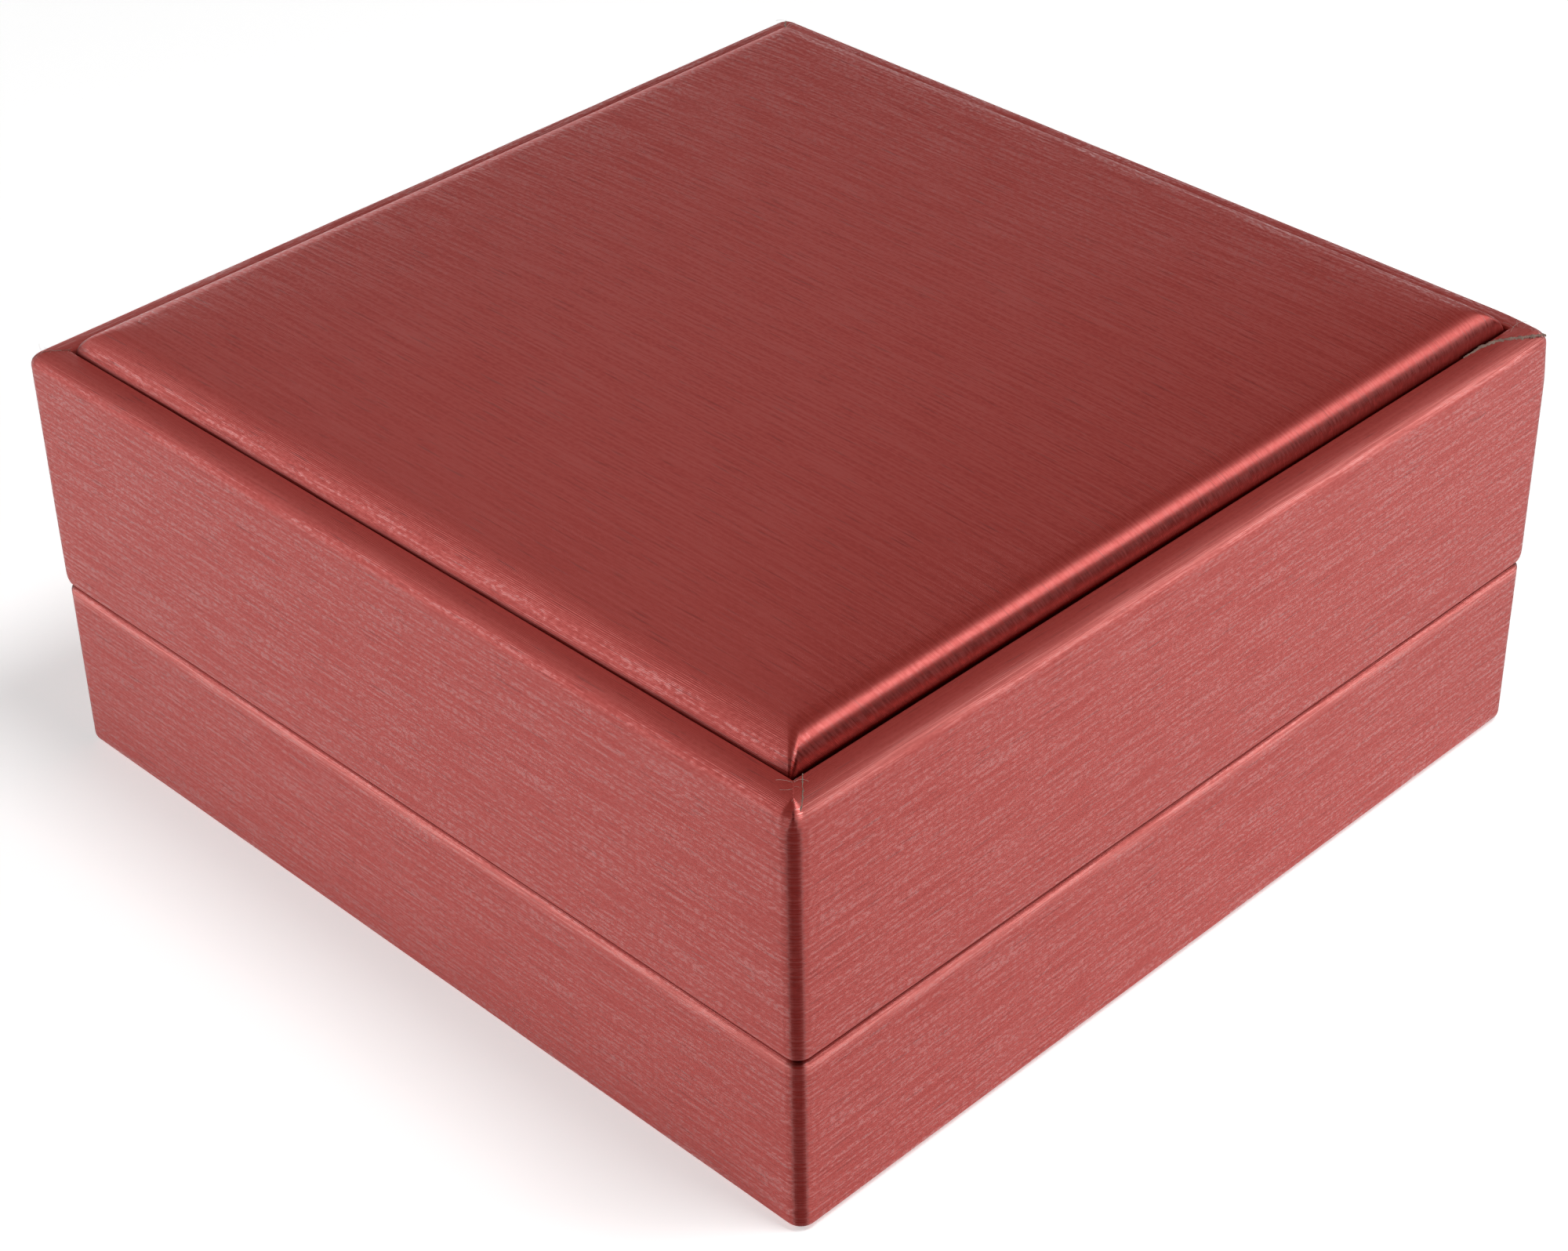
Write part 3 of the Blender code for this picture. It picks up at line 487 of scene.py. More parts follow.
def running_lengths(points, closed):
    lengths = [0.0]
    for before, after in zip(points, points[1:] + points[:1] if closed else points[1:]):
        lengths.append(lengths[-1] + (after - before).length)
    return lengths


def new_piece(name, mesh, materials):
    """A piece of the box from its mesh, shaded smooth between its sharp edges."""
    mesh.shade_smooth()
    mesh.set_sharp_from_angle(angle=SHARP_ANGLE)
    for material in materials:
        mesh.materials.append(material)
    return linked(name, mesh)


def ringed_skin(name, rings, spot, materials, turned=False, capped=()):
    """A sheet through closed rings; spot(row, i) is a point's place on the flat cloth, in metres."""
    count = len(rings[0])
    faces = []
    for row in range(len(rings) - 1):
        faces += [[(row, i), (row, i + 1), (row + 1, i + 1), (row + 1, i)] for i in range(count)]
    for row in capped:
        for i in range(-count // 4, count // 4):
            across = [(row, i % count), (row, (i + 1) % count), (row, count // 2 - i - 1), (row, count // 2 - i)]
            across = [corner for corner, following in zip(across, across[1:] + across[:1]) if corner != following]
            faces.append(across if row else across[::-1])
    if turned:
        faces = [corners[::-1] for corners in faces]
    corners = [[row * count + i % count for row, i in face] for face in faces]
    mesh = bpy.data.meshes.new(name)
    mesh.from_pydata([point for ring in rings for point in ring], [], corners)
    layer = mesh.uv_layers.new(name="ribs")
    layer.data.foreach_set("uv", [value for face in faces for corner in face for value in spot(*corner)])
    return new_piece(name, mesh, materials)


def applied(obj):
    """The piece with its modifiers made into plain mesh."""
    graph = bpy.context.evaluated_depsgraph_get()
    mesh = bpy.data.meshes.new_from_object(obj.evaluated_get(graph), preserve_all_data_layers=True, depsgraph=graph)
    old = obj.data
    obj.modifiers.clear()
    obj.data = mesh
    mesh.name = obj.name
    bpy.data.meshes.remove(old)
    return obj


def thickened(obj, thickness):
    """Gives an open sheet its thickness, on the side away from what shows."""
    wall = obj.modifiers.new("thickness", "SOLIDIFY")
    wall.thickness = thickness
    wall.offset = -1.0
    wall.material_offset = 1
    wall.material_offset_rim = 1
    return applied(obj)


def prisms(name, outline_yz, half_length, places):
    """Cutting blocks: one outline of (y, z) points drawn out along X at each place."""
    tool = bmesh.new()
    for x, y, z in places:
        ends = []
        for end in (x - half_length, x + half_length):
            ends.append([tool.verts.new((end, y + point_y, z + point_z)) for point_y, point_z in outline_yz])
            tool.faces.new(ends[-1])
        for i in range(len(outline_yz)):
            tool.faces.new((ends[0][i - 1], ends[0][i], ends[1][i], ends[1][i - 1]))
    bmesh.ops.recalc_face_normals(tool, faces=tool.faces)
    mesh = bpy.data.meshes.new(name)
    tool.to_mesh(mesh)
    tool.free()
    return linked(name, mesh)


def cut_out(obj, tool):
    """The piece less the cutting blocks, which are used up."""
    cut = obj.modifiers.new("cut", "BOOLEAN")
    cut.operation = "DIFFERENCE"
    cut.solver = "EXACT"
    cut.object = tool
    applied(obj)
    bpy.data.objects.remove(tool)
    return obj


def hinge_room(inner_face, facing):
    """(y, z) about the hinge's axis of what the wrap leaves free; facing is 1 in the base and -1 in the lid."""
    slot = inner_face - SLOT_INSET
    first = TURN / 2 + math.asin(STRAP_ROOM / POCKET_RADIUS)
    depth = LEAF_REACH + LEAF_ROOM
    points = [(-inner_face - OVERRUN, -depth), (-slot, -depth), (-slot, -STRAP_ROOM)]
    for step in range(POCKET_STEPS + 1):
        angle = first + (TURN - first) * step / POCKET_STEPS
        points.append((POCKET_RADIUS * math.cos(angle), POCKET_RADIUS * math.sin(angle)))
    points += [(POCKET_RADIUS, OVERRUN), (-inner_face - OVERRUN, OVERRUN)]
    return [(y, facing * z) for y, z in points]


def eased(share):
    share = min(1.0, max(0.0, share))
    return share * share * (3 - 2 * share)


noise.seed_set(UNEVEN_SEED)


def uneven(obj, depth, size):
    """Moves the piece's points a little, all in slow waves, as a hand-wrapped face is never quite flat."""
    for vertex in obj.data.vertices:
        vertex.co += depth * noise.noise_vector(vertex.co / size)


def slumped(obj, corner):
    """Pulls the cloth in a little round one corner, where the wrap is less sharply folded than at the others."""
    for vertex in obj.data.vertices:
        share = eased(1 - (vertex.co - corner).length / SLUMP_REACH)
        vertex.co -= SLUMP * share * SLUMP_WAY


def mark(obj, name, amount):
    """Stores a share from 0 to 1 at each point of the cloth: how much painted shade or painted highlight it gets."""
    layer = obj.data.attributes.new(name, "FLOAT", "POINT")
    layer.data.foreach_set("value", [amount(vertex.co) for vertex in obj.data.vertices])


def painted_highlight_line(distance, share):
    """How much painted highlight the cloth gets, at a share of the highlight line's half width from its middle."""
    return share * eased(1 - abs(distance))


def corner_painted_shade(point, half_x, half_y, top):
    """Painted shade: the wrap is darker round the upright corners, up to where they run out in the rim."""
    across = Vector((abs(point.x) - half_x + CORNER_RADIUS, abs(point.y) - half_y + CORNER_RADIUS))
    if min(across) <= 0:
        return 0.0
    band = EDGE_BAND * min(1.0, (top - point.z) / EDGE_FADE)
    if band <= 0:
        return 0.0
    return EDGE_DEPTH * eased(EDGE_FULL * (1 - abs(math.atan2(across.y, across.x) - TURN / 8) / band))


def wrap_skin(name, corners, half_x, half_y):
    """The wrap of one half, through the corners of its section, with its thickness on the inside."""
    section = rounded_section(corners)
    rings = []
    for inset, z in section:
        radius = max(CORNER_RADIUS - inset, TIGHT_RADIUS)
        ring = outline(half_x - inset, half_y - inset, radius, CORNER_STEPS, SIDE_STEPS)
        rings.append([Vector((*point, z)) for point in ring])
    lengths = running_lengths(outline(half_x, half_y, CORNER_RADIUS, CORNER_STEPS, SIDE_STEPS), True)
    depths = running_lengths(section, False)
    materials = [leatherette, paper_backing]
    wrap = ringed_skin(name, rings, lambda row, i: (lengths[i], depths[row]), materials, turned=True)
    return thickened(wrap, WRAP_THICKNESS)


lid_low, lid_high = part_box("lid_wrap")
hinge_places = [(side * HINGE_X, HINGE_Y, HINGE_Z) for side in (-1, 1)]
lid_corners = [
    (RIM_WIDTH, lid_high.z - RECESS_TUCK, 0.0, 0.0),
    (RIM_WIDTH, lid_high.z, FOLD_RADIUS, FOLD_RADIUS),
    (0.0, lid_high.z, RIM_IN, RIM_DOWN),
    (0.0, lid_low.z, LID_CURL_IN, LID_CURL_UP),
    (WALL_THICKNESS, lid_low.z, FOLD_RADIUS, FOLD_RADIUS),
    (WALL_THICKNESS, lid_low.z + TURN_IN, 0.0, 0.0),
]
lid_wrap = wrap_skin("lid_leatherette", lid_corners, lid_high.x, lid_high.y)
cut_out(lid_wrap, prisms("lid_hinge_room", hinge_room(WALL_THICKNESS, -1), POCKET_HALF, hinge_places))
uneven(lid_wrap, WRAP_UNEVEN, UNEVEN_SIZE)
slumped(lid_wrap, lid_high)


def rim_painted_highlight(point):
    """Painted highlight: a pale line along the outer rounding of the lid's rim on its two sides."""
    beside, before = lid_high.x - abs(point.x), lid_high.y - abs(point.y)
    outside = eased((RIM_IN - beside) / RIM_HIGHLIGHT_REACH) * eased((before - beside) / RIM_HIGHLIGHT_REACH)
    return outside * painted_highlight_line((lid_high.z - point.z - RIM_HIGHLIGHT_DROP) / RIM_HIGHLIGHT_REACH, RIM_HIGHLIGHT_SHARE)


# Painted shade round the lid's upright corners.
mark(lid_wrap, "painted_shade", lambda point: corner_painted_shade(point, lid_high.x, lid_high.y, lid_high.z - EDGE_TOP))
# A painted highlight along the rounding of the lid's rim on its two sides.
mark(lid_wrap, "painted_highlight", rim_painted_highlight)
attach(lid_wrap, "lid")
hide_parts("lid_wrap")

base_low, base_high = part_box("base_wrap")
base_corners = [
    (WALL_THICKNESS, base_high.z - TURN_IN, 0.0, 0.0),
    (WALL_THICKNESS, base_high.z, FOLD_RADIUS, FOLD_RADIUS),
    (0.0, base_high.z, BASE_CURL_IN, BASE_CURL_DOWN),
    (0.0, base_low.z, FOOT_RADIUS, FOOT_RADIUS),
    (TURN_IN, base_low.z, 0.0, 0.0),
]
base_wrap = wrap_skin("base_leatherette", base_corners, base_high.x, base_high.y)
cut_out(base_wrap, prisms("base_hinge_room", hinge_room(BASE_SETBACK + WALL_THICKNESS, 1), POCKET_HALF, hinge_places))
uneven(base_wrap, WRAP_UNEVEN, UNEVEN_SIZE)
# Painted shade round the base's upright corners.
mark(base_wrap, "painted_shade", lambda point: corner_painted_shade(point, base_high.x, base_high.y, base_high.z + EDGE_FADE))
# A painted highlight along the base's top edge, just under the seam.
mark(
    base_wrap, "painted_highlight", lambda point: painted_highlight_line((base_high.z - point.z - SEAM_HIGHLIGHT_DROP) / SEAM_HIGHLIGHT_REACH, SEAM_HIGHLIGHT_SHARE)
)
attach(base_wrap, "base")
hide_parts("base_wrap")

# Sole and linings
# Black velour paper fills the window of the turned-under wrap. Ivory velour card lines the walls inside: the base's
# strips stand above its rim and guide the lid.
CARD_EDGE = 0.000198
CARD_EDGE_STEPS = 3
CARD_CELL = 0.0040
CARD_UNEVEN = 0.00005
TACK_POCKET = (0.00553, 0.0006, 0.00105)
TACK_DROP = 0.00496
PILE_SIZE = 0.00022
PILE_LIT = 1.12
PILE_LIT_SHARE = 0.45
PILE_SHEEN_ROUGHNESS = 0.35
PILE_RELIEF = 0.35

pile_group, given, result = node_group("velour_pile", {"Size": PILE_SIZE}, ("Height", "Tip", "Brushed"))
tree = pile_group
place = measured(tree, given["Vector"], given["Size"])
fibre = noised(tree, place, 1.0, 2.0)
brushed = noised(tree, place, 0.022, 3.0, distortion=0.6)
feed(tree, result, {
    "Height": times(tree, fibre, given["Size"]),
    "Tip": stepped(tree, fibre, 0.35, 0.70),
    "Brushed": stepped(tree, brushed, 0.38, 0.62),
})


def velour(name, root, tip, sheen, sheen_tint):
    """Short-pile velour: darker at the roots, which is painted shade between the fibres, and paler where it is
    brushed over.
    """
    material, tree, shader = new_material(name)
    pile = placed(tree, pile_group, Vector=own_place(tree), Size=PILE_SIZE)
    lit = tuple(min(1.0, PILE_LIT * value) for value in tip)
    # Painted shade: the low roots of the pile are darker than its tips.
    colour = mixed(tree, pile["Tip"], root, tip)
    colour = mixed(tree, times(tree, pile["Brushed"], PILE_LIT_SHARE), colour, lit)
    feed(tree, shader, {
        "Base Color": colour, "Roughness": stepped(tree, pile["Brushed"], 0.0, 1.0, 0.95, 0.82),
        "Sheen Weight": sheen, "Sheen Roughness": PILE_SHEEN_ROUGHNESS, "Sheen Tint": (*sheen_tint, 1.0),
    })
    raised(tree, shader, pile["Height"], PILE_RELIEF)
    return material


ivory_velour = velour("ivory_velour", (0.62, 0.56, 0.46), (0.86, 0.81, 0.71), 0.35, (1.0, 0.96, 0.88))
dark_velour = velour("dark_velour", (0.010, 0.009, 0.010), (0.030, 0.027, 0.030), 0.25, (0.6, 0.58, 0.6))


def card(name, solid, material, body):
    """A card with softened edges in the place of its CAD node, very slightly bowed."""
    low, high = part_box(solid)
    size = high - low
    form = bmesh.new()
    bmesh.ops.create_cube(form, size=1.0, matrix=Matrix.Translation((low + high) / 2) @ Matrix.Diagonal((*size, 1.0)))
    edges = form.edges[:]
    bmesh.ops.bevel(form, geom=edges, offset=CARD_EDGE, segments=CARD_EDGE_STEPS, profile=0.5, affect="EDGES")
    for axis in range(3):
        cells = round(size[axis] / CARD_CELL)
        for cell in range(1, cells):
            spot = low.copy()
            spot[axis] += size[axis] * cell / cells
            facing = Vector([float(i == axis) for i in range(3)])
            whole = form.verts[:] + form.edges[:] + form.faces[:]
            bmesh.ops.bisect_plane(form, geom=whole, plane_co=spot, plane_no=facing)
    bmesh.ops.recalc_face_normals(form, faces=form.faces)
    mesh = bpy.data.meshes.new(name)
    form.to_mesh(mesh)
    form.free()
    obj = new_piece(name, mesh, [material])
    uneven(obj, CARD_UNEVEN, 2 * UNEVEN_SIZE)
    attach(obj, body)
    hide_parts(solid)
    return obj


card("base_sole_velour", "base_sole", dark_velour, "base")
for body, facing in (("base", 1), ("lid", -1)):
    for side in ("front", "back", "left", "right"):
        strip = card(f"{body}_lining_{side}_velour", f"{body}_lining_{side}", ivory_velour, body)
        if side == "back":
            half, depth, high_half = TACK_POCKET
            wall_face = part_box(f"{body}_lining_back")[1].y
            block = [(-depth, -high_half), (OVERRUN, -high_half), (OVERRUN, high_half), (-depth, high_half)]
            heads = [(x, wall_face, z - facing * TACK_DROP) for x, y, z in hinge_places]
            cut_out(strip, prisms(f"{body}_tack_room", block, half, heads))

# Panel
# A crowned pad of foam on its own board, covered with the same leatherette, drops into the lid's rim. Its ribs run
# from side to side, and its cover is pulled tight over the edges.
Pad = namedtuple("Pad", "half_x half_y corner wall roll_in roll_up crown")
PANEL_CORNER = 0.0005
PANEL_ROLL_IN = 0.0032
PANEL_ROLL_UP = 0.00205
PANEL_CROWN = 0.0008
COVER_BORDER = 0.0060
ROLL_STEPS = 14
CROWN_STEPS = 18
PAD_SIDE_STEPS = 40
PAD_CORNER_STEPS = 8
POLE_SHARE = 0.995
POLE_HALF = 0.0002
CROWN_POWER = 3
CORNER_GROWTH = 0.06
ROUND_MOST = 0.88
SETTLE_SCALE = 10.0
SETTLE_FRAMES = 20
SETTLE_QUALITY = 6
SETTLE_HOLD = 0.0001
SETTLE_SMOOTHING = 50
SETTLE_LEVEL_RINGS = 16
FOAM_CELL = 0.00045
FOAM_MOTTLE = 90.0
FOAM_ROUGHNESS = 0.95
# How far in from the panel's sides, and how far up from its foot, the painted shade reaches.
SIDE_DEEP = 0.0015
FOOT_SUNK = 0.0003
FOOT_DEEP = 0.0006


def pad_path(pad, bottom, border):
    """(inset, corner radius, z) of a pad's rings, from under its edge to its middle."""
    half = min(pad.half_x, pad.half_y)
    path = [(border, max(pad.corner - border, TIGHT_RADIUS), bottom)] if border else []
    path += [(0.0, pad.corner, bottom + pad.wall * share) for share in (0.0, 0.25, 0.5, 0.75)]
    for step in range(ROLL_STEPS + CROWN_STEPS + 1):
        turn = TURN / 4 * min(1.0, step / ROLL_STEPS)
        inset = pad.roll_in * (1 - math.cos(turn))
        inset += (half * POLE_SHARE - pad.roll_in) * max(0.0, (step - ROLL_STEPS) / CROWN_STEPS)
        share = max(0.0, (inset - pad.roll_in) / (half - pad.roll_in))
        corner = (pad.corner + CORNER_GROWTH * inset) * (1 - share) + (half - inset) * share
        rise = pad.roll_up * math.sin(turn) + pad.crown * (1 - (1 - inset / half) ** CROWN_POWER)
        path.append((inset, corner, bottom + pad.wall + rise))
    return path


def pad_skin(name, pad, bottom, border, materials, hanging=False):
    """The skin of a pad, with a flat cloth plan that runs straight across it and down its sides."""
    half = min(pad.half_x, pad.half_y)
    path = pad_path(pad, bottom, border)
    run = running_lengths([Vector((inset, z)) for inset, corner, z in path], False)
    rings, flats = [], []
    for (inset, corner, z), length in zip(path, run):
        corner = min(corner, ROUND_MOST * (half - inset))
        ring = outline(pad.half_x - inset, pad.half_y - inset, corner, PAD_CORNER_STEPS, PAD_SIDE_STEPS)
        level = 2 * bottom - z if hanging else z
        rings.append([Vector((*point, level)) for point in ring])
        spread = run[-1] - length + POLE_HALF
        long_x, long_y = pad.half_x - half + spread, pad.half_y - half + spread
        flats.append(outline(long_x, long_y, corner * spread / (half - inset), PAD_CORNER_STEPS, PAD_SIDE_STEPS))
    ends = [len(rings) - 1] if border else [0, len(rings) - 1]
    count = len(rings[0])
    return ringed_skin(name, rings, lambda row, i: flats[row][i % count], materials, turned=hanging, capped=ends)


def pad_like(solid, corner, roll_in, roll_up, crown):
    """The pad that fills a CAD node's box, and its foot's height."""
    low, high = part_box(solid)
    wall = high.z - low.z - roll_up - crown
    return Pad(high.x, high.y, corner, wall, roll_in, roll_up, crown), low.z


def settled(obj, foot, pressure, slack, cap):
    """Lets the padding push the cover out, smoothly: the foot is held, and no point moves further than the cap."""
    mesh = obj.data
    start = [vertex.co.copy() for vertex in mesh.vertices]
    held = obj.vertex_groups.new(name="held")
    held.add([i for i, point in enumerate(start) if foot(point)], 1.0, "REPLACE")
    for vertex in mesh.vertices:
        vertex.co *= SETTLE_SCALE
    cloth = obj.modifiers.new("settle", "CLOTH")
    cloth.settings.vertex_group_mass = "held"
    cloth.settings.use_pressure = True
    cloth.settings.uniform_pressure_force = pressure
    cloth.settings.shrink_min = -slack
    cloth.settings.quality = SETTLE_QUALITY
    cloth.settings.effector_weights.gravity = 0.0
    cloth.collision_settings.use_collision = False
    for count in range(1, SETTLE_FRAMES + 1):
        bpy.context.scene.frame_set(count)
    graph = bpy.context.evaluated_depsgraph_get()
    rested = [vertex.co / SETTLE_SCALE for vertex in obj.evaluated_get(graph).data.vertices]
    obj.modifiers.clear()
    obj.vertex_groups.clear()
    steps = numpy.array([after - before for before, after in zip(start, rested)])
    ring = 4 * (PAD_CORNER_STEPS + PAD_SIDE_STEPS)
    steps[-ring:] = steps[-2 * ring:-ring]
    free = numpy.array([[float(not foot(point))] for point in start])
    ends = numpy.array([edge.vertices[:] for edge in mesh.edges])
    neighbours = numpy.bincount(ends.ravel(), minlength=len(start))[:, None]
    for count in range(SETTLE_SMOOTHING):
        total = numpy.zeros_like(steps)
        numpy.add.at(total, ends[:, 0], steps[ends[:, 1]])
        numpy.add.at(total, ends[:, 1], steps[ends[:, 0]])
        steps = free * (steps + total / neighbours) / 2
    rings_left = numpy.arange(len(start))[::-1] // ring
    steps[:, :2] *= numpy.clip(rings_left / SETTLE_LEVEL_RINGS, 0, 1)[:, None]
    steps *= min(1.0, cap / max(numpy.linalg.norm(steps, axis=1)))
    for vertex, before, step in zip(mesh.vertices, start, steps):
        vertex.co = before + Vector(step)
    bpy.context.scene.frame_set(1)
    return obj


pad_foam, tree, shader = new_material("pad_foam")
place = {"Vector": own_place(tree), "Scale": 1 / FOAM_CELL}
cell = node(tree, "ShaderNodeTexVoronoi", place, feature="SMOOTH_F1").outputs["Distance"]
mottle = noised(tree, own_place(tree), FOAM_MOTTLE, 3.0)
cream = mixed(tree, stepped(tree, mottle, 0.35, 0.65), (0.72, 0.67, 0.53), (0.84, 0.80, 0.68))
# Painted shade: the pits at the middle of the foam's cells are darker.
cream = mixed(tree, stepped(tree, cell, 0.30, 0.55), (0.50, 0.45, 0.33), cream)
feed(tree, shader, {"Base Color": cream, "Roughness": FOAM_ROUGHNESS})
raised(tree, shader, cell, FOAM_CELL / 3)


def foam_block(name, solid, cover, cover_foot, body, hanging=False):
    """The foam under a cover: it has the cover's form, inside its thickness."""
    low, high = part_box(solid)
    inset = cover.half_x - high.x
    foot = high.z if hanging else low.z
    wall = cover.wall - abs(foot - cover_foot)
    corner = max(cover.corner - inset, TIGHT_RADIUS)
    form = Pad(high.x, high.y, corner, wall, cover.roll_in - inset, cover.roll_up - inset, cover.crown)
    block = pad_skin(name, form, foot, 0.0, [pad_foam], hanging)
    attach(block, body)
    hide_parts(solid)
    return block


panel_pad, panel_foot = pad_like("panel_cover", PANEL_CORNER, PANEL_ROLL_IN, PANEL_ROLL_UP, PANEL_CROWN)
panel = pad_skin("panel_leatherette", panel_pad, panel_foot, COVER_BORDER, [leatherette, paper_backing])
panel_edge = panel_foot + panel_pad.wall
settled(panel, lambda point: point.z < panel_edge + SETTLE_HOLD, pressure=1.0, slack=0.004, cap=0.00012)
uneven(panel, depth=0.000025, size=0.013)
thickened(panel, WRAP_THICKNESS)


def panel_painted_shade(point):
    """Painted shade: the panel's cloth is darker and deeper in colour down its sides and at its foot by the rim."""
    beside = (panel_pad.half_x - abs(point.x)) / SIDE_DEEP
    above = (point.z - lid_high.z + FOOT_SUNK) / FOOT_DEEP
    return eased(1 - min(beside, above))


# Painted shade down the panel's sides and at its foot.
mark(panel, "painted_shade", panel_painted_shade)
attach(panel, "lid")
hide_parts("panel_cover")
foam_block("panel_soft_foam", "panel_foam", panel_pad, panel_foot, "lid")

# Satin pad
# A board with foam, covered in ivory satin, is pressed in under the lid's top, between the linings.
SATIN_CORNER = 0.0012
SATIN_ROLL_IN = 0.0030
SATIN_ROLL_UP = 0.0016
SATIN_CROWN = 0.0012
SATIN_THREAD = 0.00012
SATIN_THREAD_RELIEF = 0.000006
SATIN_SLUB_RELIEF = 0.00002
SATIN_CROSSING = 0.25
SATIN_SHEEN = 0.2
SATIN_SHEEN_ROUGHNESS = 0.3
SATIN_GRAIN = 0.6
SATIN_THICKNESS = 0.0003

ivory_satin, tree, shader = new_material("ivory_satin")
cloth_place = node(tree, "ShaderNodeUVMap", uv_map="ribs").outputs["UV"]
slub = stretched_noise(tree, cloth_place, (0.012, SATIN_THREAD, 1.0))
crossing = stepped(tree, stretched_noise(tree, cloth_place, (SATIN_THREAD, 0.0009, 1.0), 1.0), 0.45, 0.75)
thread = node(tree, "ShaderNodeSeparateXYZ", {0: cloth_place}).outputs["Y"]
thread = calculated(tree, "SINE", times(tree, thread, TURN / SATIN_THREAD))
ivory = mixed(tree, stepped(tree, slub, 0.30, 0.70), (0.74, 0.68, 0.57), (0.88, 0.84, 0.75))
ivory = mixed(tree, times(tree, crossing, SATIN_CROSSING), ivory, (0.92, 0.89, 0.82))
feed(tree, shader, {
    "Base Color": ivory, "Roughness": stepped(tree, slub, 0.3, 0.7, 0.44, 0.34),
    "Sheen Weight": SATIN_SHEEN, "Sheen Roughness": SATIN_SHEEN_ROUGHNESS,
})
weave = times(tree, thread, SATIN_THREAD_RELIEF)
weave = calculated(tree, "ADD", weave, times(tree, slub, SATIN_SLUB_RELIEF))
raised(tree, shader, weave, 1.0)
grained(tree, shader, SATIN_GRAIN)

satin_pad = pad_like("satin_pad_cover", SATIN_CORNER, SATIN_ROLL_IN, SATIN_ROLL_UP, SATIN_CROWN)[0]
satin_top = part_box("satin_pad_cover")[1].z
satin = pad_skin("satin_pad_satin", satin_pad, satin_top, COVER_BORDER, [ivory_satin, ivory_satin], hanging=True)
satin_edge = satin_top - satin_pad.wall
settled(satin, lambda point: point.z > satin_edge - SETTLE_HOLD, pressure=1.5, slack=0.015, cap=0.0004)
uneven(satin, depth=0.00008, size=0.008)
thickened(satin, SATIN_THICKNESS)
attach(satin, "lid")
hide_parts("satin_pad_cover")
foam_block("satin_pad_soft_foam", "satin_pad_foam", satin_pad, satin_top, "lid", hanging=True)

# Insert and cushion
# A velour-covered board with foam lies on the base's floor. On it stands an oval cushion, which the bracelet goes
# round.
INSERT_CORNER = 0.0015
INSERT_ROLL_IN = 0.0022
INSERT_ROLL_UP = 0.0015
CUSHION_CORNER = 0.0170
CUSHION_ROLL_IN = 0.0070
CUSHION_ROLL_UP = 0.0052
CUSHION_CROWN = 0.0010
CUSHION_BORDER = 0.0050
VELOUR_THICKNESS = 0.0005
VELOUR_HELD_SHARE = 0.4
for prefix, pad_sizes, border, pressure, cap in (
    ("insert", (INSERT_CORNER, INSERT_ROLL_IN, INSERT_ROLL_UP, 0.0), COVER_BORDER, 0.6, 0.00015),
    ("cushion", (CUSHION_CORNER, CUSHION_ROLL_IN, CUSHION_ROLL_UP, CUSHION_CROWN), CUSHION_BORDER, 2.0, 0.0005),
):
    form, foot = pad_like(f"{prefix}_cover", *pad_sizes)
    cover = pad_skin(f"{prefix}_velour", form, foot, border, [ivory_velour, ivory_velour])
    settled(cover, lambda point: point.z < foot + VELOUR_HELD_SHARE * form.wall, pressure, slack=0.005, cap=cap)
    uneven(cover, depth=0.00006, size=0.007)
    thickened(cover, VELOUR_THICKNESS)
    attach(cover, "base")
    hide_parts(f"{prefix}_cover")
    foam_block(f"{prefix}_soft_foam", f"{prefix}_foam", form, foot, "base")

# Hinges and magnets
# Two small brass butt hinges: each has a leaf in either half, four tacks and a pin. Two plated bar magnets sit in
# notches of the front walls and hold the lid shut.
METAL_SCRATCH = 0.0007
METAL_SCRATCH_SHAPE = (6.0, 0.12, 0.12)
METAL_SCRATCH_ROUGH = 0.2
METAL_RELIEF = 0.000012

metal_group, given, result = node_group("handled_metal", {"Size": METAL_SCRATCH}, ("Scratch", "Tarnish"))
tree = metal_group
place = measured(tree, given["Vector"], given["Size"])
tarnish = stepped(tree, noised(tree, place, 0.5, 5.0), 0.42, 0.68)
feed(tree, result, {"Scratch": stretched_noise(tree, place, METAL_SCRATCH_SHAPE), "Tarnish": tarnish})


def handled_metal(name, clean, dull, smooth, rough):
    """Plain metal with fine scratches, dull and rougher where it has tarnished."""
    material, tree, shader = new_material(name)
    marks = placed(tree, metal_group, Vector=own_place(tree), Size=METAL_SCRATCH)
    colour = mixed(tree, marks["Tarnish"], clean, dull)
    level = stepped(tree, marks["Tarnish"], 0.0, 1.0, smooth, rough)
    level = calculated(tree, "ADD", level, times(tree, marks["Scratch"], METAL_SCRATCH_ROUGH))
    feed(tree, shader, {"Base Color": colour, "Roughness": level, "Metallic": 1.0})
    raised(tree, shader, marks["Scratch"], METAL_RELIEF)
    return material


hinge_brass = handled_metal("hinge_brass", (0.80, 0.57, 0.25), (0.50, 0.33, 0.13), 0.18, 0.38)
nickel_plate = handled_metal("nickel_plate", (0.63, 0.61, 0.58), (0.48, 0.46, 0.43), 0.15, 0.34)
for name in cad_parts:
    if name.startswith("hinge_"):
        finish_node(name, hinge_brass)
    elif name.endswith("_magnet"):
        finish_node(name, nickel_plate)

# Corner mitres and loose threads
# The wrap is cut and folded at each corner of the rim: its torn edge shows as a ragged line from the recess to the
# outer corner, with a few loose threads.
MITRE_LIFT = 0.00003
MITRE_SINK = 0.00006
MITRE_STEP = 0.00005
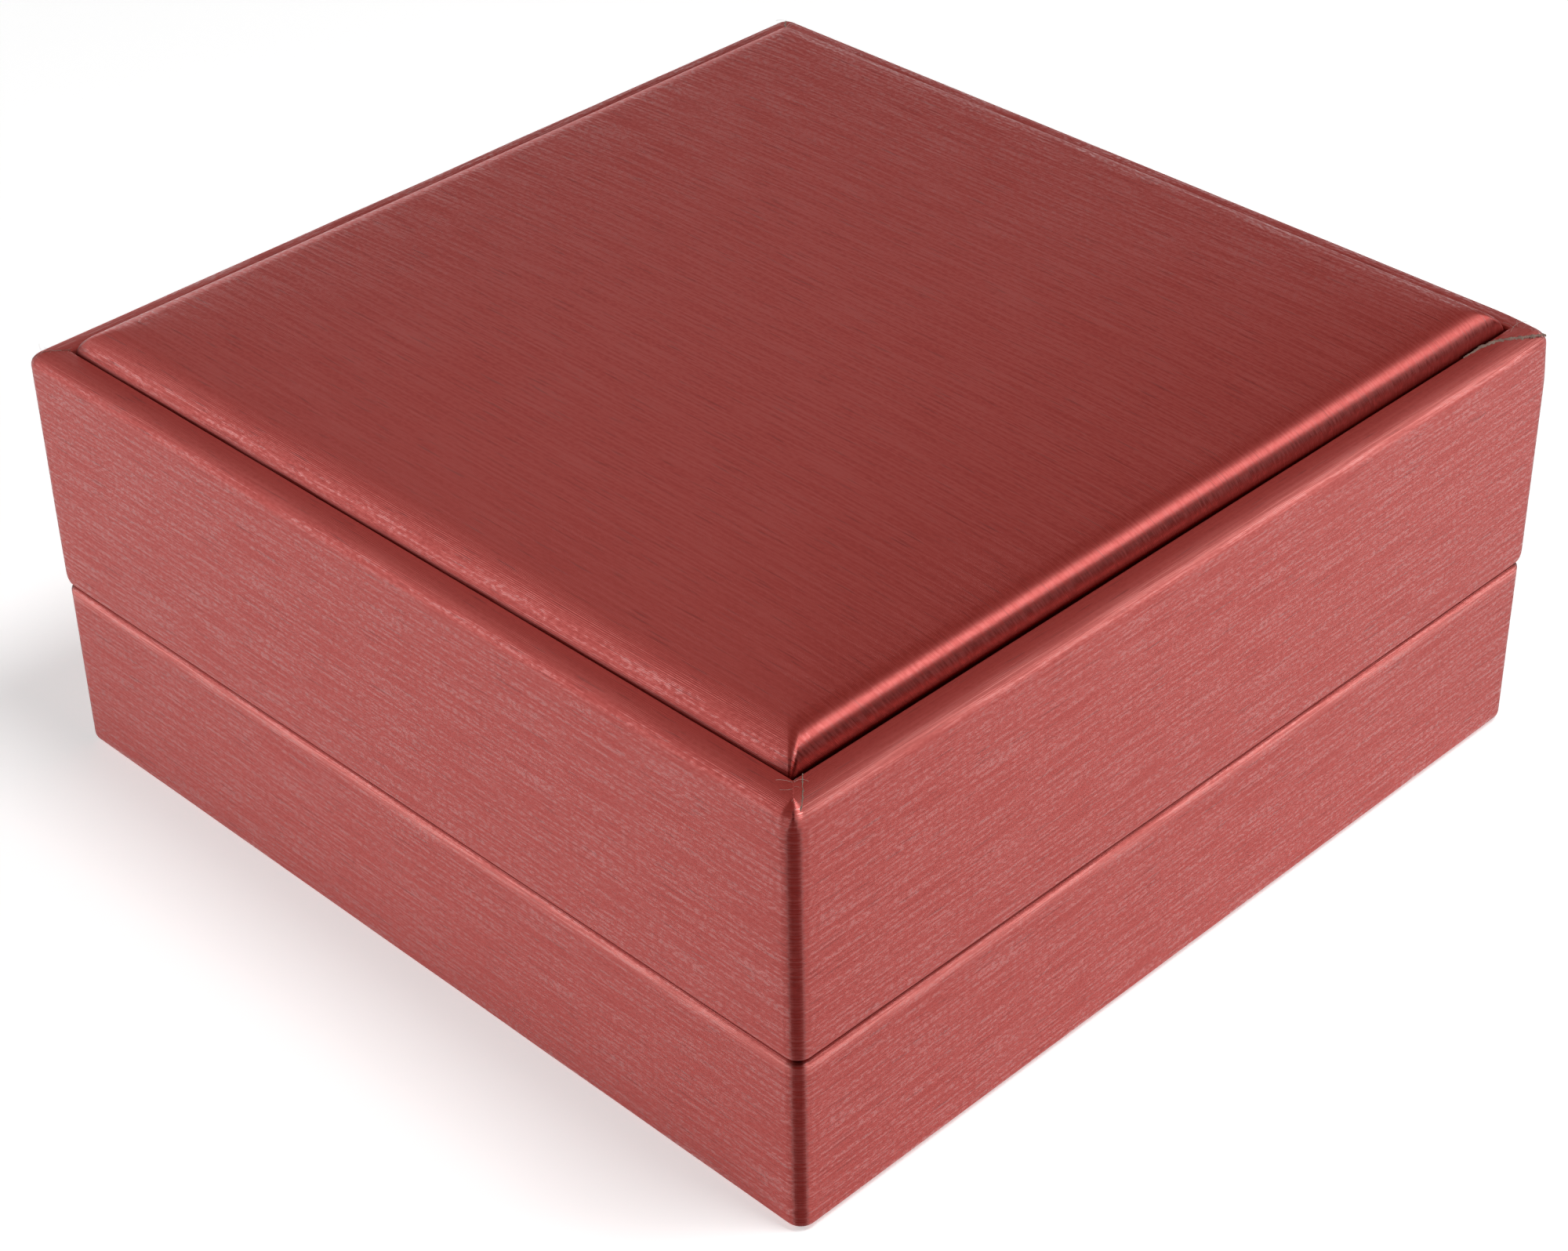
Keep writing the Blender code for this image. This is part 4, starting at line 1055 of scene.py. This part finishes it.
# Each corner's edge runs through (inset in X, inset in Y, half its width), in millimetres.
MITRES = {
    (-1, 1): ((2.8, 2.9, 0.12), (1.4, 1.5, 0.14), (0.5, 0.5, 0.12)),
    (-1, -1): ((2.8, 2.9, 0.05), (1.4, 1.4, 0.04), (0.5, 0.5, 0.03)),
    (1, -1): ((2.85, 3.8, 0.09), (1.34, 2.25, 0.10), (0.75, 1.6, 0.10), (0.45, 1.1, 0.06)),
    (1, 1): ((2.75, 9.5, 0.08), (2.75, 7.2, 0.24), (2.4, 5.4, 0.34), (1.5, 3.7, 0.26), (0.9, 2.5, 0.18),
             (0.45, 1.0, 0.16)),
}
MITRE_ROUGH_SIZE = 0.00016
MITRE_DRIFT = 0.00007
MITRE_DRIFT_SIZE = 0.0004
THREAD_COUNT = 7
THREAD_BEND = (0.55, 0.10, 0.30)
THREAD_END = (0.90, -0.25, 0.12)
THREAD_DRIFT = 0.0004
THREAD_SUNK = 0.00004
STEEPEST = 0.98

torn_edge = flecked(
    "torn_edge", size=0.00012, dark=(0.11, 0.05, 0.04), pale=(0.45, 0.31, 0.25), speck=(0.17, 0.07, 0.06),
    share=0.7, roughness=0.9, relief=0.00004,
)
lint_fibre, tree, shader = new_material("lint_fibre")
flecks = placed(tree, fleck_group, Vector=own_place(tree), Size=0.0002)
lint = mixed(tree, flecks["Mottle"], (0.30, 0.25, 0.22), (0.80, 0.74, 0.68))
feed(tree, shader, {"Base Color": lint, "Roughness": 0.7})


def rim_place(side_x, side_y, inset_x, inset_y):
    """The point of the rim's top at two insets from its outer faces, and the way out of the cloth there."""
    outward = Vector((max(CORNER_RADIUS - inset_x, 0.0), max(CORNER_RADIUS - inset_y, 0.0)))
    inset = CORNER_RADIUS - outward.length
    if min(outward) == 0:
        inset = min(inset_x, inset_y)
        outward = Vector((float(inset_x < inset_y), float(inset_x >= inset_y)))
    outward.normalize()
    share = min(STEEPEST, max(0.0, 1 - inset / RIM_IN))
    fall = math.sqrt(1 - share * share)
    height = lid_high.z - RIM_DOWN * (1 - fall)
    place = Vector((side_x * (lid_high.x - inset_x), side_y * (lid_high.y - inset_y), height))
    slope = RIM_DOWN / RIM_IN * share / fall
    return place, Vector((side_x * outward.x * slope, side_y * outward.y * slope, 1.0)).normalized()


def evenly_spaced(points, step):
    """Points along a path at even steps."""
    lengths = running_lengths(points, False)
    spaced = []
    for count in range(int(lengths[-1] / step) + 1):
        at = count * step
        i = max(k for k in range(len(points)) if lengths[k] <= at + 1e-12)
        i = min(i, len(points) - 2)
        spaced.append(points[i].lerp(points[i + 1], (at - lengths[i]) / (lengths[i + 1] - lengths[i])))
    return spaced


def mitre_ridge(name):
    """Low ragged ridges along the wrap's cut edges at the four corners of the rim."""
    section = ((-1.0, -MITRE_SINK), (-0.4, MITRE_LIFT), (0.5, 0.6 * MITRE_LIFT), (1.0, -MITRE_SINK))
    verts, faces = [], []
    for (side_x, side_y), stations in MITRES.items():
        spine = evenly_spaced([Vector(station) / 1000 for station in stations], MITRE_STEP)
        places = [rim_place(side_x, side_y, inset_x, inset_y) for inset_x, inset_y, half in spine]
        first = len(verts)
        for row, ((place, lift), station) in enumerate(zip(places, spine)):
            before, after = places[max(row - 1, 0)][0], places[min(row + 1, len(places) - 1)][0]
            across = (after - before).cross(lift).normalized()
            rough = noise.noise(place / MITRE_ROUGH_SIZE)
            half = station.z * (0.8 + 0.9 * rough)
            drift = MITRE_DRIFT * noise.noise(place / MITRE_DRIFT_SIZE)
            for side, height in section:
                verts.append(place + across * (side * half + drift) + lift * height * (1 + 0.8 * rough))
        for row in range(len(spine) - 1):
            here, ahead = first + 4 * row, first + 4 * row + 4
            faces += [[here + i, here + (i + 1) % 4, ahead + (i + 1) % 4, ahead + i] for i in range(4)]
        last = first + 4 * len(spine) - 4
        faces += [[first + 3, first + 2, first + 1, first], [last, last + 1, last + 2, last + 3]]
    mesh = bpy.data.meshes.new(name)
    mesh.from_pydata(verts, [], faces)
    form = bmesh.new()
    form.from_mesh(mesh)
    bmesh.ops.recalc_face_normals(form, faces=form.faces)
    form.to_mesh(mesh)
    form.free()
    return new_piece(name, mesh, [torn_edge])


mitres = mitre_ridge("lid_corner_mitres")
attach(mitres, "lid")

thread_tree = bpy.data.node_groups.new("loose_threads", "GeometryNodeTree")
for label, kind in (
    ("Geometry", "Geometry"), ("Length", "Float"), ("Thickness", "Float"), ("Lift", "Float"), ("Seed", "Int"),
    ("Finish", "Material"),
):
    thread_tree.interface.new_socket(label, in_out="INPUT", socket_type=f"NodeSocket{kind}")
thread_tree.interface.new_socket("Geometry", in_out="OUTPUT", socket_type="NodeSocketGeometry")
given = node(thread_tree, "NodeGroupInput").outputs
bend, end = (
    node(thread_tree, "ShaderNodeVectorMath", {0: way, "Scale": given["Length"]}, operation="SCALE").outputs[0]
    for way in (THREAD_BEND, THREAD_END)
)
strand = {"Resolution": 7, "Start": (0.0, 0.0, 0.0), "Middle": bend, "End": end}
strand = node(thread_tree, "GeometryNodeCurveQuadraticBezier", strand).outputs[0]
radius = times(thread_tree, given["Thickness"], 0.5)
profile = node(thread_tree, "GeometryNodeCurvePrimitiveCircle", {"Resolution": 3, "Radius": radius}).outputs["Curve"]
tube = node(thread_tree, "GeometryNodeCurveToMesh", {"Curve": strand, "Profile Curve": profile, "Fill Caps": True})
least = times(thread_tree, given["Lift"], -1.0)
turns = {
    0: node(thread_tree, "ShaderNodeCombineXYZ", {"X": least, "Y": least, "Z": 0.0}).outputs[0],
    1: node(thread_tree, "ShaderNodeCombineXYZ", {"X": given["Lift"], "Y": 0.0, "Z": TURN}).outputs[0],
    "Seed": given["Seed"],
}
turn = node(thread_tree, "FunctionNodeRandomValue", turns, data_type="FLOAT_VECTOR").outputs[0]
lengths = {2: 0.4, 3: 1.3, "Seed": given["Seed"]}
length = node(thread_tree, "FunctionNodeRandomValue", lengths, data_type="FLOAT").outputs[1]
instances = {"Points": given["Geometry"], "Instance": tube.outputs[0], "Rotation": turn, "Scale": length}
threads = node(thread_tree, "GeometryNodeInstanceOnPoints", instances).outputs[0]
threads = node(thread_tree, "GeometryNodeRealizeInstances", {"Geometry": threads}).outputs[0]
threads = node(thread_tree, "GeometryNodeSetMaterial", {"Geometry": threads, "Material": given["Finish"]}).outputs[0]
node(thread_tree, "NodeGroupOutput", {"Geometry": threads})


def loose_threads(name, roots, body, **sizes):
    """A short thread at each root, as one piece."""
    mesh = bpy.data.meshes.new(name)
    mesh.from_pydata(roots, [], [])
    obj = linked(name, mesh)
    modifier = obj.modifiers.new("threads", "NODES")
    modifier.node_group = thread_tree
    for socket in thread_tree.interface.items_tree:
        if socket.in_out == "INPUT" and socket.name in sizes:
            modifier[socket.identifier] = sizes[socket.name]
    applied(obj)
    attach(obj, body)
    return obj


thread_roots = []
for side_x, side_y in ((1, -1), (1, 1), (-1, -1), (-1, 1)):
    for count in range(THREAD_COUNT):
        inset = WALL_THICKNESS * (1.05 - 0.8 * (count / THREAD_COUNT) ** 2)
        drift = THREAD_DRIFT * noise.noise(Vector((side_x * 3.1, side_y * 5.3, count * 1.7)))
        x, y = side_x * (lid_high.x - inset) + drift, side_y * (lid_high.y - inset) - drift
        thread_roots.append((x, y, lid_high.z - THREAD_SUNK))
loose_threads(
    "lid_corner_threads", thread_roots, "lid", Length=0.0011, Thickness=0.000022, Lift=0.5, Seed=4, Finish=lint_fibre
)
